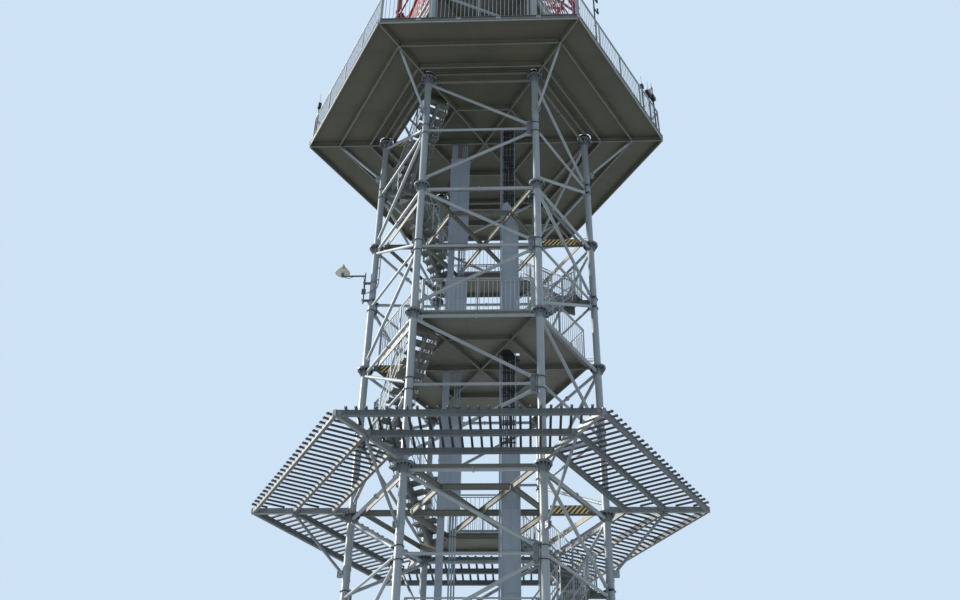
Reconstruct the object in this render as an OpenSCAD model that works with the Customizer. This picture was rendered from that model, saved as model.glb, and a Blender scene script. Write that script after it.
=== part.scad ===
// Lookout tower: six tube legs on a hexagon, a stair that winds round inside,
// a slatted sunshade half way up and a wide lookout deck near the top.
// Front is -Y. Every length is in millimetres.

/* [Tower] */
// Height of one storey, from leg flange to leg flange
storey = 4900; // [4000:50:4950]
// Radius of the circle that the six leg axes stand on
leg_r = 3640; // [3600:20:4000]
// Storeys from the ground to the lookout deck
deck_storeys = 6; // [6:2:6]
// Storeys from the ground to the top of the legs
all_storeys = 8; // [8:1:8]

/* [Legs] */
// Outer diameter of a leg tube
leg_d = 220; // [160:5:300]
// Radius of the round bolted flanges
flange_r = 250; // [170:5:255]
// Thickness of a pair of flanges
flange_t = 60; // [40:2:80]
// Height of the stiffener ribs under a flange
rib_h = 250; // [60:5:300]
// Thickness of a stiffener rib
rib_t = 8; // [6:1:12]
// Diameter of the two clamp bands at mid storey
band_d = 244; // [230:2:260]
// Distance from one clamp band to the other
band_gap = 370; // [200:10:500]
// Height of a clamp band
band_h = 36; // [20:2:60]
// Width of the square base plate
base_w = 900; // [760:20:1100]
// Thickness of the base plate
base_t = 45; // [30:1:80]
// Diameter of the anchor bolt holes
anchor_d = 33; // [22:1:42]
// Radius of the anchor bolt circle
anchor_r = 330; // [300:5:340]
// Anchor bolts in one base plate
anchor_n = 6; // [6:1:12]

/* [Bracing] */
// Diameter of the diagonal braces
brace_d = 100; // [60:2:100]
// Diameter of the level struts at mid storey
strut_d = 84; // [50:2:120]
// Diameter of the ring tubes under the flanges
ring_d = 100; // [60:2:100]
// Drop of a ring tube's axis under its flange
ring_drop = 155; // [120:5:240]
// Height of a diagonal's foot over the flange
foot_up = 300; // [200:10:500]
// Distance from the axis of a leg to the ends of the braces that meet on it
apex_w = 280; // [240:5:340]
// Height of the plate they meet at, over and under the strut
apex_h = 305; // [250:5:400]
// Thickness of the gusset plates
gusset_t = 16; // [8:1:25]

/* [Floors] */
// Width of a floor beam
beam_w = 60; // [50:2:60]
// Depth of a floor beam
beam_h = 180; // [120:5:240]
// Thickness of the floor plates
floor_t = 40; // [20:1:60]
// Distance from the axis of a leg to the corner of the floors inside the legs
floor_in = 300; // [265:5:300]
// Corner radius of the inner ring of beams
inner_r = 1960; // [1500:10:2100]
// Thickness of the edge plate round a floor
edge_t = 30; // [10:1:50]

/* [Stair] */
// Steps in one flight
steps = 11; // [8:1:11]
// Depth of one step along the flight
going = 226; // [200:1:227]
// Width of a flight
flight_w = 820; // [700:10:820]
// Clearance between a flight's railing and the edge plate of a floor
flight_clear = 4; // [3:1:12]
// Thickness of a tread
tread_t = 70; // [20:1:80]
// Reach of a tread before its step
nosing = 20; // [5:1:30]
// Reach of a tread over the one below it
tread_lap = 25; // [0:1:40]
// Width of the spine beam under the treads
spine_w = 100; // [80:5:200]
// Depth of the rim beams that carry a flight's ends
rim_h = 330; // [320:5:360]
// Depth of a flight's foot under the floor that it starts from
foot_hang = 200; // [120:10:260]

/* [Railings] */
// Height of a railing over its floor
rail_h = 1270; // [900:10:1500]
// Height of the railing beside a flight
stair_rail_h = 1100; // [900:10:1200]
// Spacing of the upright bars
bar_pitch = 165; // [100:5:200]
// Spacing of the posts where a railing has no upright bars
post_pitch = 1150; // [800:50:1500]
// Width of an upright bar
bar_w = 16; // [10:1:30]
// Thickness of a railing
rail_t = 30; // [20:1:50]
// Height of the top rail
top_rail_h = 45; // [25:1:80]

/* [Sunshade] */
// Level of the sunshade, in storeys
shade_level = 3; // [3:1:3]
// Corner radius of the sunshade's outer beams
shade_r = 6550; // [5800:10:7000]
// Depth of the sunshade's beams
shade_beam_h = 165; // [80:5:180]
// Height of the beams' underside over the flange
shade_up = 45; // [35:5:200]
// Spacing of the slats
slat_pitch = 250; // [180:5:350]
// Width of a slat
slat_w = 62; // [40:1:120]
// Thickness of a slat
slat_t = 28; // [15:1:50]
// Length of a slat beyond the outer beam
slat_over = 130; // [100:10:400]

/* [Deck] */
// Corner radius of the lookout deck
deck_r = 6516; // [5800:4:7000]
// Drop of the deck strut's foot under the deck
deck_strut_drop = 1820; // [1200:20:2400]

/* [Cable ways] */
// Size of the cable hole in the floors, along X
hole_x = 620; // [600:10:640]
// Size of the cable hole in the floors, along Y
hole_y = 640; // [620:10:660]
// Centre of the cable hole, along X
hole_cx = 900; // [890:5:910]
// Centre of the cable hole, along Y
hole_cy = -800; // [-810:5:-790]
// Size along Y of the hole over the third level, for the cables alone
cable_hole = 180; // [160:5:300]
// Width of the sheet duct round the main cables
duct_w = 500; // [400:10:510]
// Depth of the sheet duct
duct_d = 450; // [300:10:460]
// Height of the lower duct's top over the third level
duct_low = 1590; // [1000:10:3000]
// Height of the upper duct's top over the fifth level
duct_up = 1100; // [700:10:1500]
// Diameter of a cable
cable_d = 48; // [30:1:50]
// Cables side by side
cable_n = 6; // [3:1:7]
// Spacing of the rungs behind the cables
rung_pitch = 1200; // [400:50:1500]
// Left side of the covers on the second cable way, along X
cover_x = -1220; // [-1300:10:-1180]
// Width of these covers
cover_w = 670; // [640:10:700]
// Depth of these covers
cover_d = 340; // [300:10:400]
// Height of a cover's foot over the odd level under it
cover_up = 170; // [160:10:400]
// Height of the covers at the first and third levels
cover_h = 3210; // [1000:10:3600]
// Height of the cover that stands on the fourth level
cover_low = 3480; // [1000:10:3900]
// Distance from the top cover to the deck plates
cover_head = 850; // [300:10:1500]

/* [Instruments] */
// Height of the gauge pole's foot over the fourth level
gauge_up = 2590; // [2000:10:3300]
// Length of the gauge pole
gauge_h = 1260; // [900:10:1500]
// Reach of the gauge's arm from the pole
gauge_arm = 780; // [500:10:900]
// Height of the tallest mast on the deck
mast_h = 3400; // [3000:50:4000]
// Height of a warning board
board_h = 250; // [200:10:300]

/* [Hidden] */
// Joint left between plates and beams that butt together
joint = 0.6;
leg_s = 48;
half = storey / 2;
face_a = leg_r * cos(30);
flight_gap = floor_in * cos(30) + edge_t + rail_t + flight_clear;
leg_az = [-120, -60, 0, 60, 120, 180];
front_left = -120;
front_right = -60;
right = 0;
back_right = 60;
back_left = 120;
left = 180;
beam_top = beam_h - flange_t / 2;
floor_top = beam_top + floor_t;
floor_r = leg_r - floor_in;
beam_reach = leg_r - flange_r - joint;
run = (steps - 1) * going;
rise = half / steps;
flight_x = (leg_r - run) / 2;
in_y = flight_gap + flight_w;
flight_out = face_a - flight_gap;
flight_in = face_a - in_y;
strip_r = (flight_out + rail_t + 2 * joint) / cos(30);
deck_z = deck_storeys * storey;
shade_z = shade_level * storey;
tip = slat_w * 0.6;

leg(front_left);  // leg_front_left
leg(front_right);  // leg_front_right
leg(right);  // leg_right
leg(back_right);  // leg_back_right
leg(back_left);  // leg_back_left
leg(left);  // leg_left
bracing(front_left);  // bracing_front
bracing(front_right);  // bracing_front_right
bracing(right);  // bracing_back_right
bracing(back_right);  // bracing_back
bracing(back_left);  // bracing_back_left
bracing(left);  // bracing_front_left
level_frame(1);  // frame_level_1
level_frame(2);  // frame_level_2
level_frame(3);  // frame_level_3
level_frame(4);  // frame_level_4
level_frame(5);  // frame_level_5
level_frame(7);  // frame_level_7
platform_floor(2);  // floor_level_2
platform_floor(4);  // floor_level_4
platform_floor(7);  // floor_level_7
landing_floors();
platform_railings();
stair(0);  // stair_level_0
stair(1);  // stair_level_1
stair(2);  // stair_level_2
stair(3);  // stair_level_3
stair(4);  // stair_level_4
stair(5);  // stair_level_5
stair_railings();
shade_panel(front_left);  // shade_front
shade_panel(front_right);  // shade_front_right
shade_panel(right);  // shade_back_right
shade_panel(back_right);  // shade_back
shade_panel(back_left);  // shade_back_left
shade_panel(left);  // shade_front_left
shade_arms();
deck_frame();
deck_struts();
deck_floor();
deck_railing();
cable_duct();
cable_ladder();
cable_column();
warning_boards();
leg_instrument();
deck_instruments();

// Moves its children to the leg at an angle, with X pointing outward
module at_leg(az) {
    rotate([0, 0, az]) translate([leg_r, 0, 0]) children();
}

// Moves its children to the face that starts at the leg at an angle:
// X runs along the face to the next leg, Y points inward
module at_side(az) {
    at_leg(az) rotate([0, 0, 120]) children();
}

// A bar from one point to another, with few sides
module bar(from, to, d, sides = 8) {
    v = to - from;
    translate(from)
        rotate([0, acos(v[2] / norm(v)), atan2(v[1], v[0])])
            cylinder(d = d, h = norm(v), $fn = sides);
}

// A flat plate in the XZ plane, centred on Y = 0
module upright_plate(t, points) {
    translate([0, t / 2, 0]) rotate([90, 0, 0]) linear_extrude(t) polygon(points);
}

// Six-sided plate with its corners toward the legs
module hex_2d(r) {
    polygon([for (a = leg_az) [r * cos(a), r * sin(a)]]);
}

// The turned core of a leg: tube, clamp bands and flanges
function leg_profile() = concat(
    [[0, 0]],
    [for (n = [1 : all_storeys]) each [
        [leg_d / 2, n == 1 ? 0 : (n - 1) * storey + flange_t / 2],
        each band_profile(n * storey - half - band_gap / 2),
        each band_profile(n * storey - half + band_gap / 2),
        [leg_d / 2, n * storey - flange_t / 2],
        [flange_r, n * storey - flange_t / 2],
        [flange_r, n * storey + flange_t / 2]
    ]],
    [[0, all_storeys * storey + flange_t / 2]]
);

function band_profile(z) = [
    [leg_d / 2, z - band_h / 2], [band_d / 2, z - band_h / 2],
    [band_d / 2, z + band_h / 2], [leg_d / 2, z + band_h / 2]
];

module leg_core(az) {
    at_leg(az) rotate_extrude($fn = leg_s) polygon(leg_profile());
}

// One leg with its flanges, ribs, base plate and anchor holes
module leg(az) {
    color([0.62, 0.67, 0.71])
    difference() {
        union() {
            leg_core(az);
            at_leg(az) translate([-base_w / 2, -base_w / 2, 0]) cube([base_w, base_w, base_t]);
            for (n = [1 : all_storeys])
                for (k = [0 : 5])
                    at_leg(az) translate([0, 0, n * storey]) rotate([0, 0, 30 + 60 * k]) flange_rib();
            for (k = [0 : 5])
                at_leg(az) rotate([0, 0, 30 + 60 * k]) base_rib();
        }
        at_leg(az)
            for (k = [0 : anchor_n - 1])
                rotate([0, 0, k * 360 / anchor_n]) translate([anchor_r, 0, -1])
                    cylinder(d = anchor_d, h = base_t + 2, $fn = 24);
    }
}

// A stiffener under a flange
module flange_rib() {
    under = -flange_t / 2;
    upright_plate(rib_t, [
        [leg_d / 2 - 15, under - rib_h],
        [leg_d / 2 + 8, under - rib_h],
        [flange_r - 15, under - 30],
        [flange_r - 15, under + 5],
        [leg_d / 2 - 15, under + 5]
    ]);
}

module base_rib() {
    reach = base_w / 2 - 40;
    upright_plate(rib_t * 2, [
        [leg_d / 2 - 15, base_t - 5],
        [reach, base_t - 5],
        [reach, base_t + 50],
        [leg_d / 2 + 12, base_t + 360],
        [leg_d / 2 - 15, base_t + 360]
    ]);
}

// One face of the tower: the braces of every storey meet at a plate beside the next leg at mid storey
module bracing(az) {
    color([0.60, 0.65, 0.69])
    difference() {
        at_side(az)
            for (n = [0 : all_storeys - 1])
                translate([0, 0, n * storey]) {
                    for (k = [0 : 3]) bar(brace_from(k), brace_to(k), brace_size(k));
                    gussets();
                }
        leg_core(az);
        leg_core(az + 60);
    }
}

// Ends and sizes of the four bars in a storey of one face: the ring tube under the flanges,
// the level strut, the lower diagonal and the upper diagonal
function brace_from(k) = [0, 0, [storey - ring_drop, half, foot_up, storey - ring_drop - 60][k]];
function brace_to(k) = [
    k == 0 ? leg_r : leg_r - apex_w, 0,
    [storey - ring_drop, half, half - apex_h + 62, half + apex_h - 62][k]
];
function brace_size(k) = [ring_d, strut_d, brace_d, brace_d][k];

// Plates between the bars at their ends, cut back to the bars' sides
module gussets() {
    top = storey - ring_drop;
    plate_x = leg_r - apex_w - 20;
    plate_w = leg_r - band_d / 2 - joint - plate_x;
    translate([0, gusset_t / 2, 0]) rotate([90, 0, 0]) linear_extrude(gusset_t) difference() {
        union() {
            translate([plate_x, half - apex_h]) square([plate_w, 2 * apex_h]);
            polygon([
                [60, foot_up - 150], [60, foot_up],
                [220, foot_up + 100], [200, foot_up + 20]
            ]);
            polygon([[60, top], [60, top - 90], [220, top - 170], [330, top]]);
        }
        for (k = [0 : 3]) brace_shadow(brace_from(k), brace_to(k), brace_size(k) + 2 * joint);
    }
}

// The outline of a bar seen square on to the face
module brace_shadow(from, to, w) {
    v = to - from;
    translate([from[0], from[2]]) rotate(atan2(v[2], v[0]))
        translate([0, -w / 2]) square([norm(v) + joint, w]);
}

// An I beam that lies along X with its top at Z = 0
module i_beam(len, w = beam_w, h = beam_h, f = 14, web = 12) {
    rotate([90, 0, 90]) linear_extrude(len) polygon([
        [-w / 2, 0], [w / 2, 0], [w / 2, -f], [web / 2, -f], [web / 2, f - h], [w / 2, f - h],
        [w / 2, -h], [-w / 2, -h], [-w / 2, f - h], [-web / 2, f - h], [-web / 2, -f], [-w / 2, -f]
    ]);
}

// Six beams between the radial beams, on a hexagon of a given corner radius
module ring_beams(r, w = beam_w, h = beam_h) {
    cut = (w / 2 + joint) / cos(30) + w / 2 * tan(30);
    for (a = leg_az)
        rotate([0, 0, a]) translate([r, 0, 0]) rotate([0, 0, 120])
            translate([cut, 0, 0]) i_beam(r - 2 * cut, w, h);
}

// Beams of one level: six from the middle to the legs, an inner ring and an edge ring
module level_frame(n) {
    color([0.55, 0.59, 0.61])
    translate([0, 0, n * storey + beam_top]) {
        radial_beams();
        ring_beams(inner_r);
        edge_plates();
    }
}

// One beam runs right through, four butt against it in the middle; all end at the flanges
module radial_beams() {
    translate([-beam_reach, 0, 0]) i_beam(2 * beam_reach);
    start = (beam_w / 2 + joint) / tan(30);
    for (a = [front_left, front_right, back_right, back_left])
        rotate([0, 0, a]) translate([start, 0, 0]) i_beam(beam_reach - start);
}

module edge_plates() {
    cut = (beam_w / 2 + joint) / cos(30) + edge_t * tan(30);
    for (a = leg_az)
        rotate([0, 0, a]) translate([floor_r, 0, 0]) rotate([0, 0, 120])
            translate([cut, 0, -beam_h + 20])
                cube([floor_r - 2 * cut, edge_t, beam_h - 20 - joint]);
}

// The part of a floor between two radial lines and two hexagons, as a plate
module floor_sector(az, r0, r1) {
    g = joint / sin(60);
    rotate([0, 0, az]) linear_extrude(floor_t) polygon([
        [r0 + g, joint], [r1, joint],
        [r1 * cos(60) + joint, r1 * sin(60) - joint * 2],
        [r0 * cos(60) + joint + g, r0 * sin(60) - joint * 2 + g]
    ]);
}

// The floor inside the inner ring, in four plates round a cable hole of a given length along Y
module core_floor(hole_len = hole_y) {
    w = inner_r * 2;
    x0 = hole_cx - hole_x / 2;
    x1 = hole_cx + hole_x / 2;
    y1 = hole_cy + hole_y / 2;
    y0 = y1 - hole_len;
    linear_extrude(floor_t) intersection() {
        hex_2d(inner_r - joint);
        translate([-w, -w]) square([w + x0 - joint, 2 * w]);
    }
    linear_extrude(floor_t) intersection() {
        hex_2d(inner_r - joint);
        translate([x1 + joint, -w]) square([w, 2 * w]);
    }
    linear_extrude(floor_t) intersection() {
        hex_2d(inner_r - joint);
        translate([x0, y1]) square([hole_x, w]);
    }
    linear_extrude(floor_t) intersection() {
        hex_2d(inner_r - joint);
        translate([x0, y0 - w]) square([hole_x, w]);
    }
}

// The same floor in one plate, without a hole
module closed_core() {
    linear_extrude(floor_t) hex_2d(inner_r - joint);
}

// A full floor, open over the flight that comes up on the front left side;
// over the third level only the cables pass, since the upper duct stands on the floor
module platform_floor(n) {
    color([0.36, 0.38, 0.34])
    translate([0, 0, n * storey + beam_top]) {
        if (n > deck_storeys) closed_core();
        else core_floor(n < shade_level ? hole_y : cable_hole);
        for (a = leg_az)
            if (a != left || n > deck_storeys) floor_sector(a, inner_r, floor_r);
        if (n <= deck_storeys) open_sector(left);
    }
}

// What is left of a sector with a flight in it: a strip inside and the wedge at the stair head
module open_sector(az) {
    floor_sector(az, inner_r, (flight_in - rail_t - 2 * joint) / cos(30));
    wedge(az + 60, -1);
}

// Floors at the odd levels: only the back sector is laid, with a wedge at each stair end
module landing_floors() {
    color([0.36, 0.38, 0.34])
    for (n = [1 : 2 : deck_storeys - 1])
        translate([0, 0, n * storey + beam_top]) {
            floor_sector(back_right, inner_r, floor_r);
            wedge(back_right, -1);
            wedge(back_left, 1);
        }
}

// Where a flight starts that follows the leg on +X, at a distance a from the middle
function flight_end(a) = [
    a * cos(30) + run / 2 * sin(30),
    a * sin(30) - run / 2 * cos(30)
];

// Half of a corner plate, with the rim beam that holds the flight:
// side 1 is where a flight starts after the leg, side -1 where one ends before it
module wedge(az, side) {
    rim = 60;
    a0 = flight_in + 130;
    rotate([0, 0, az]) mirror([0, side < 0 ? 1 : 0, 0]) {
        linear_extrude(floor_t) polygon([
            [flight_in / cos(30), joint], flight_end(flight_in),
            flight_end(flight_out), [flight_out / cos(30), joint]
        ]);
        translate([0, 0, floor_t - rim_h]) linear_extrude(rim_h - floor_t / 2) polygon([
            flight_end(a0), flight_end(flight_out),
            flight_end(flight_out) + rim * [sin(30), -cos(30)],
            flight_end(a0) + rim * [sin(30), -cos(30)]
        ]);
    }
}

// A railing panel along X from 0 to len, standing on Z = 0; wide bays get a middle rail
module rail_panel(len, pitch = bar_pitch, h = rail_h) {
    n = max(1, round(len / pitch));
    bay = len / n;
    rows = pitch > 3 * bar_pitch ? 2 : 1;
    post = 2 * bar_w;
    clear_h = (h - 90 - top_rail_h - (rows - 1) * bar_pitch / 3) / rows;
    translate([0, rail_t / 2, 0]) rotate([90, 0, 0]) linear_extrude(rail_t) difference() {
        square([len, h]);
        for (k = [0 : n - 1]) {
            x0 = k * bay + (k == 0 ? post : bar_w / 2);
            x1 = (k + 1) * bay - (k == n - 1 ? post : bar_w / 2);
            for (r = [0 : rows - 1])
                translate([x0, 90 + r * (clear_h + bar_pitch / 3)]) square([x1 - x0, clear_h]);
        }
        translate([post, -1]) square([len - 2 * post, 51]);
    }
}

// Railing along one side of a floor inside the legs, from the share u0 to u1 of the side
module side_rail(az, r, u0 = 0, u1 = 1, pitch = bar_pitch) {
    s = r - 60;
    rotate([0, 0, az]) translate([s, 0, 0]) rotate([0, 0, 120])
        translate([u0 * s + 20, 0, 0]) rail_panel((u1 - u0) * s - 40, pitch);
}

module platform_railings() {
    color([0.64, 0.69, 0.72]) {
        for (n = [2, 4, 7])
            translate([0, 0, n * storey + floor_top])
                for (a = leg_az) side_rail(a, floor_r, pitch = n == 7 ? post_pitch : bar_pitch);
        for (n = [1 : 2 : deck_storeys - 1])
            translate([0, 0, n * storey + floor_top]) {
                side_rail(back_right, floor_r);
                side_rail(back_right, inner_r + 120);
            }
        // guard on the outer side of the stair opening in the deck
        translate([0, 0, deck_z + floor_top]) side_rail(left, leg_r + 40, 0.07, 0.93);
    }
}

// Two flights with the corner landing between them; a foot step leads up to the first
module stair(n) {
    z0 = n * storey + floor_top;
    first = n % 2 == 0 ? front_right : back_left;
    color([0.45, 0.49, 0.50]) {
        translate([0, 0, z0]) at_side(first)
            flight(n % 2 == 1 ? foot_hang : n == 0 ? floor_top : 0);
        translate([0, 0, z0 + half]) at_side(first + 60) flight(foot_hang);
        corner_landing(first + 60, z0 + half);
        if (n == 0)
            at_side(first) translate([flight_x - going, flight_gap, 0])
                cube([going - joint, flight_w, floor_top]);
    }
}

// Where the spine beam steps up behind a tread
function spine_x(k) = flight_x + (k == 0 ? joint : k == steps - 1 ? run - joint : k * going + tread_lap + joint);

// Treads on a spine beam, rising along X; the foot hangs below the start by some depth
module flight(hang) {
    under = tread_t + joint;
    for (k = [1 : steps - 1])
        translate([flight_x + (k - 1) * going - nosing, flight_gap, k * rise - tread_t])
            cube([going + nosing + (k == steps - 1 ? -5 : tread_lap), flight_w, tread_t]);
    translate([0, flight_gap + flight_w / 2, 0]) upright_plate(spine_w, concat(
        [[flight_x + joint, -hang]],
        [for (k = [1 : steps - 1]) each [
            [spine_x(k - 1), k * rise - under],
            [spine_x(k), k * rise - under]
        ]],
        [[flight_x + run - joint, half - rise - under - 150], [flight_x + 150, -hang]]
    ));
}

// The kite-shaped landing at a leg, on a bracket that the leg carries
module corner_landing(az, top) {
    difference() {
        translate([0, 0, top - floor_t]) {
            wedge(az, 1);
            wedge(az, -1);
            rotate([0, 0, az]) {
                translate([flight_in / cos(30), -joint * 2, 0])
                    cube([(flight_out - flight_in) / cos(30) - 1, joint * 4, floor_t]);
                translate([flight_in / cos(30) - 20, -50, -150])
                    cube([leg_r - flight_in / cos(30), 100, 150]);
            }
        }
        leg_core(az);
    }
}

// A sloping railing beside a flight, rising along X, with a post at every third tread;
// the first post goes down below the start of the flight by some depth
module slope_rail(down = 0) {
    s = rise / going;
    len = run - 45;
    foot = down == 0 ? joint : -down;
    translate([0, rail_t / 2, 0]) rotate([90, 0, 0]) linear_extrude(rail_t) {
        translate([0, foot]) square([2 * bar_w, stair_rail_h - 35 - foot]);
        for (k = [3 : 3 : steps - 2])
            translate([k * going, k * rise - tread_t]) square([2 * bar_w, stair_rail_h - 35 + tread_t]);
        for (z = [[520, 30], [stair_rail_h - 60, 45]])
            polygon([[0, z[0]], [len, z[0] + len * s], [len, z[0] + z[1] + len * s], [0, z[0] + z[1]]]);
    }
}

module stair_railings() {
    color([0.64, 0.69, 0.72])
    for (n = [0 : deck_storeys - 1]) {
        z0 = n * storey + floor_top;
        first = n % 2 == 0 ? front_right : back_left;
        for (k = [0, 1])
            translate([0, 0, z0 + k * half]) at_side(first + 60 * k)
                for (y = [flight_gap - rail_t / 2, in_y + rail_t / 2])
                    translate([flight_x, y, 0]) slope_rail(n + k == 0 ? floor_top : 0);
        for (k = [0, 1])
            translate([0, 0, z0 + half]) at_side(first + 60 * k)
                translate([k == 0 ? flight_x + run + 20 : flight_x - 530, flight_gap + rail_t / 2, 0])
                    rail_panel(510, 255, stair_rail_h);
    }
}

// One sector of the slatted sunshade, between two arms
module shade_panel(az) {
    a_out = shade_r * cos(30);
    rows = [a_out, a_out * 0.82, a_out * 0.65];
    n = floor((a_out * tan(30) - 60) / slat_pitch);
    color([0.30, 0.33, 0.36])
    at_side(az) translate([leg_r / 2, face_a, shade_z + shade_up]) {
        for (a = rows) {
            half_len = a * tan(30) - 62;
            translate([-half_len, -a, 0]) cube([2 * half_len, 70, shade_beam_h]);
        }
        for (k = [-n : n]) {
            x = k * slat_pitch;
            from = max(rows[2] - 90, abs(x) / tan(30) + 130);
            translate([x, 0, shade_beam_h]) linear_extrude(slat_t) polygon([
                [-slat_w / 2, -from], [slat_w / 2, -from],
                [slat_w / 2, tip - a_out - slat_over], [0, -a_out - slat_over],
                [-slat_w / 2, tip - a_out - slat_over]
            ]);
        }
    }
}

// Arms that carry the sunshade, each with a strut back to its leg
module shade_arms() {
    color([0.52, 0.57, 0.61])
    for (a = leg_az)
        difference() {
            at_leg(a) {
                translate([0, -50, shade_z + 50]) cube([shade_r - leg_r + 20, 100, 160]);
                bar([0, 0, shade_z - 1890], [0.476 * leg_r, 0, shade_z + 110], 84);
            }
            leg_core(a);
        }
}

// The wide lookout deck: beams inside the legs, cantilevers and rings outside
module deck_frame() {
    start = leg_r + flange_r + joint;
    color([0.50, 0.54, 0.55])
    translate([0, 0, deck_z + beam_top]) {
        radial_beams();
        ring_beams(inner_r);
        for (a = leg_az)
            rotate([0, 0, a]) translate([start, 0, 0]) i_beam(deck_r - start - 50);
        ring_beams(deck_r * 0.654);
        ring_beams(deck_r * 0.827);
        deck_edge();
        leg_ring();
    }
}

module deck_edge() {
    cut = (beam_w / 2 + joint) / cos(30) + edge_t * tan(30);
    for (a = leg_az)
        rotate([0, 0, a]) translate([deck_r, 0, 0]) rotate([0, 0, 120])
            translate([cut, 0, -beam_h]) cube([deck_r - 2 * cut, edge_t, beam_h - joint]);
}

// Beams under the deck plates from leg to leg, just outside the faces
module leg_ring() {
    start = flange_r + 20;
    for (a = leg_az)
        rotate([0, 0, a]) translate([leg_r, 0, 0]) rotate([0, 0, 120])
            translate([start, -170, 0]) i_beam(leg_r - 2 * start, 80, 120);
}

module deck_struts() {
    color([0.62, 0.67, 0.71])
    for (a = leg_az)
        difference() {
            at_leg(a) bar([0, 0, deck_z - deck_strut_drop],
                [0.48 * leg_r, 0, deck_z + beam_top - beam_h + 40], 92);
            leg_core(a);
            translate([0, 0, deck_z + beam_top]) rotate([0, 0, a])
                translate([leg_r, -beam_w, -beam_h]) cube([deck_r, 2 * beam_w, beam_h]);
        }
}

// The deck's plates: closed in the middle, with a strip outside the stair opening
module deck_floor() {
    color([0.33, 0.36, 0.32])
    translate([0, 0, deck_z + beam_top]) {
        closed_core();
        open_sector(left);
        difference() {
            for (a = leg_az) {
                floor_sector(a, a == left ? strip_r : inner_r, leg_r - 60);
                floor_sector(a, leg_r - 60 + 2 * joint, deck_r);
            }
            for (a = leg_az)
                at_leg(a) translate([0, 0, -1]) cylinder(r = flange_r + 6, h = floor_t + 2, $fn = 48);
        }
    }
}

module deck_railing() {
    color([0.66, 0.71, 0.74])
    translate([0, 0, deck_z + floor_top])
        for (a = leg_az) side_rail(a, deck_r);
}

// Closed sheet duct in front of the main cables, in two lengths, and a post beside it
module cable_duct() {
    x0 = hole_cx + hole_x / 2 - 20 - duct_w;
    y0 = hole_cy - hole_y / 2 + 40;
    up = 4 * storey + floor_top;
    color([0.56, 0.61, 0.66]) {
        translate([x0, y0, 0]) cube([duct_w, duct_d, shade_z + duct_low]);
        translate([hole_cx - hole_x / 2 + 5, hole_cy + hole_y / 2 - 110, 0])
            cube([50, 60, deck_z + beam_top - joint]);
        translate([x0, y0 + duct_d, 0]) rotate([90, 0, 0]) linear_extrude(duct_d) polygon([
            [0, up], [duct_w, up], [duct_w, 5 * storey + duct_up - 620],
            [duct_w * 0.3, 5 * storey + duct_up], [0, 5 * storey + duct_up - 120]
        ]);
    }
}

// Cables side by side on a ladder, from one height to another
module cable_run(z0, z1) {
    w = cable_n * (cable_d + 12);
    for (k = [0 : cable_n - 1])
        translate([(k + 0.5) * (cable_d + 12), 0, z0])
            cylinder(d = cable_d, h = z1 - z0, $fn = 8);
    for (x = [-40, w + 10])
        translate([x, cable_d / 2, z0]) cube([30, 50, z1 - z0]);
    for (k = [0 : floor((z1 - z0 - 100) / rung_pitch)])
        translate([-10 + joint, cable_d / 2 + joint, z0 + 60 + k * rung_pitch])
            cube([w + 20 - 2 * joint, 40, 30]);
}

// The main cables behind the ducts
module cable_ladder() {
    x0 = hole_cx - hole_x / 2 + 110;
    y0 = hole_cy + hole_y / 2 - 110;
    color([0.16, 0.17, 0.20])
        translate([x0, y0, 0]) cable_run(shade_z + duct_low - 400, deck_z + beam_top - joint);
}

// Second cable way on the left: covers at some levels, open cables on a post between them
module cable_column() {
    y0 = beam_w / 2 + 15;
    color([0.58, 0.63, 0.67])
    for (n = [0, 2, 4]) {
        z0 = n == 0 ? 0 : n * storey + floor_top + joint;
        z1 = (n + 2) * storey + beam_top - joint;
        foot = (n + 1) * storey + cover_up;
        head = n == 4 ? z1 - cover_head : foot + cover_h;
        low = n == 4 ? z0 + cover_low : z0;
        if (n == 4) translate([cover_x, y0, z0]) cube([cover_w, cover_d, cover_low - joint]);
        translate([cover_x, y0, foot]) cube([cover_w, cover_d, head - foot]);
        for (z = [[low, foot - joint], [head + joint, z1]]) {
            translate([cover_x + 30, y0 + 20, z[0]]) cube([200, 200, z[1] - z[0]]);
            translate([cover_x + 410, y0 + 120, 0]) cable_pair(z[0], z[1]);
        }
    }
}

module cable_pair(z0, z1) {
    for (x = [0, 75, 150])
        translate([x, 0, z0]) cylinder(d = cable_d, h = z1 - z0, $fn = 8);
}

// Boards on the front side of a floor beam, on the right at odd levels and on the left at even ones
module warning_boards() {
    board_w = 1100;
    color([0.85, 0.70, 0.10])
    for (n = [1 : deck_storeys]) {
        x0 = n % 2 == 1 ? inner_r + 90 : -inner_r - 90 - board_w;
        top = beam_top + (n % 2 == 1 ? 110 : -joint);
        translate([x0, -beam_w / 2 - 12 - joint, n * storey + top - board_h])
            cube([board_w, 12, board_h]);
    }
}

// A gauge on a pole: an arm carries a disc with a white cone, two brackets hold the pole
module leg_instrument() {
    z0 = 4 * storey + gauge_up;
    pole = leg_r + 300;
    color([0.88, 0.88, 0.86]) {
        difference() {
            union() {
                translate([-pole, 0, z0]) cylinder(d = 50, h = gauge_h, $fn = 24);
                for (z = [90, 800])
                    translate([-pole, -35, z0 + z]) cube([300, 70, 60]);
            }
            leg_core(left);
        }
        translate([-pole - gauge_arm, 0, z0 + gauge_h - 140]) {
            translate([-30, -20, 0]) cube([gauge_arm + 5 - joint, 40, 40]);
            translate([0, 0, 40 + joint]) rotate_extrude($fn = 36) polygon([
                [0, 0], [25, 0], [25, 100], [250, 110], [250, 130], [20, 430], [0, 435]
            ]);
        }
    }
}

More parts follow.
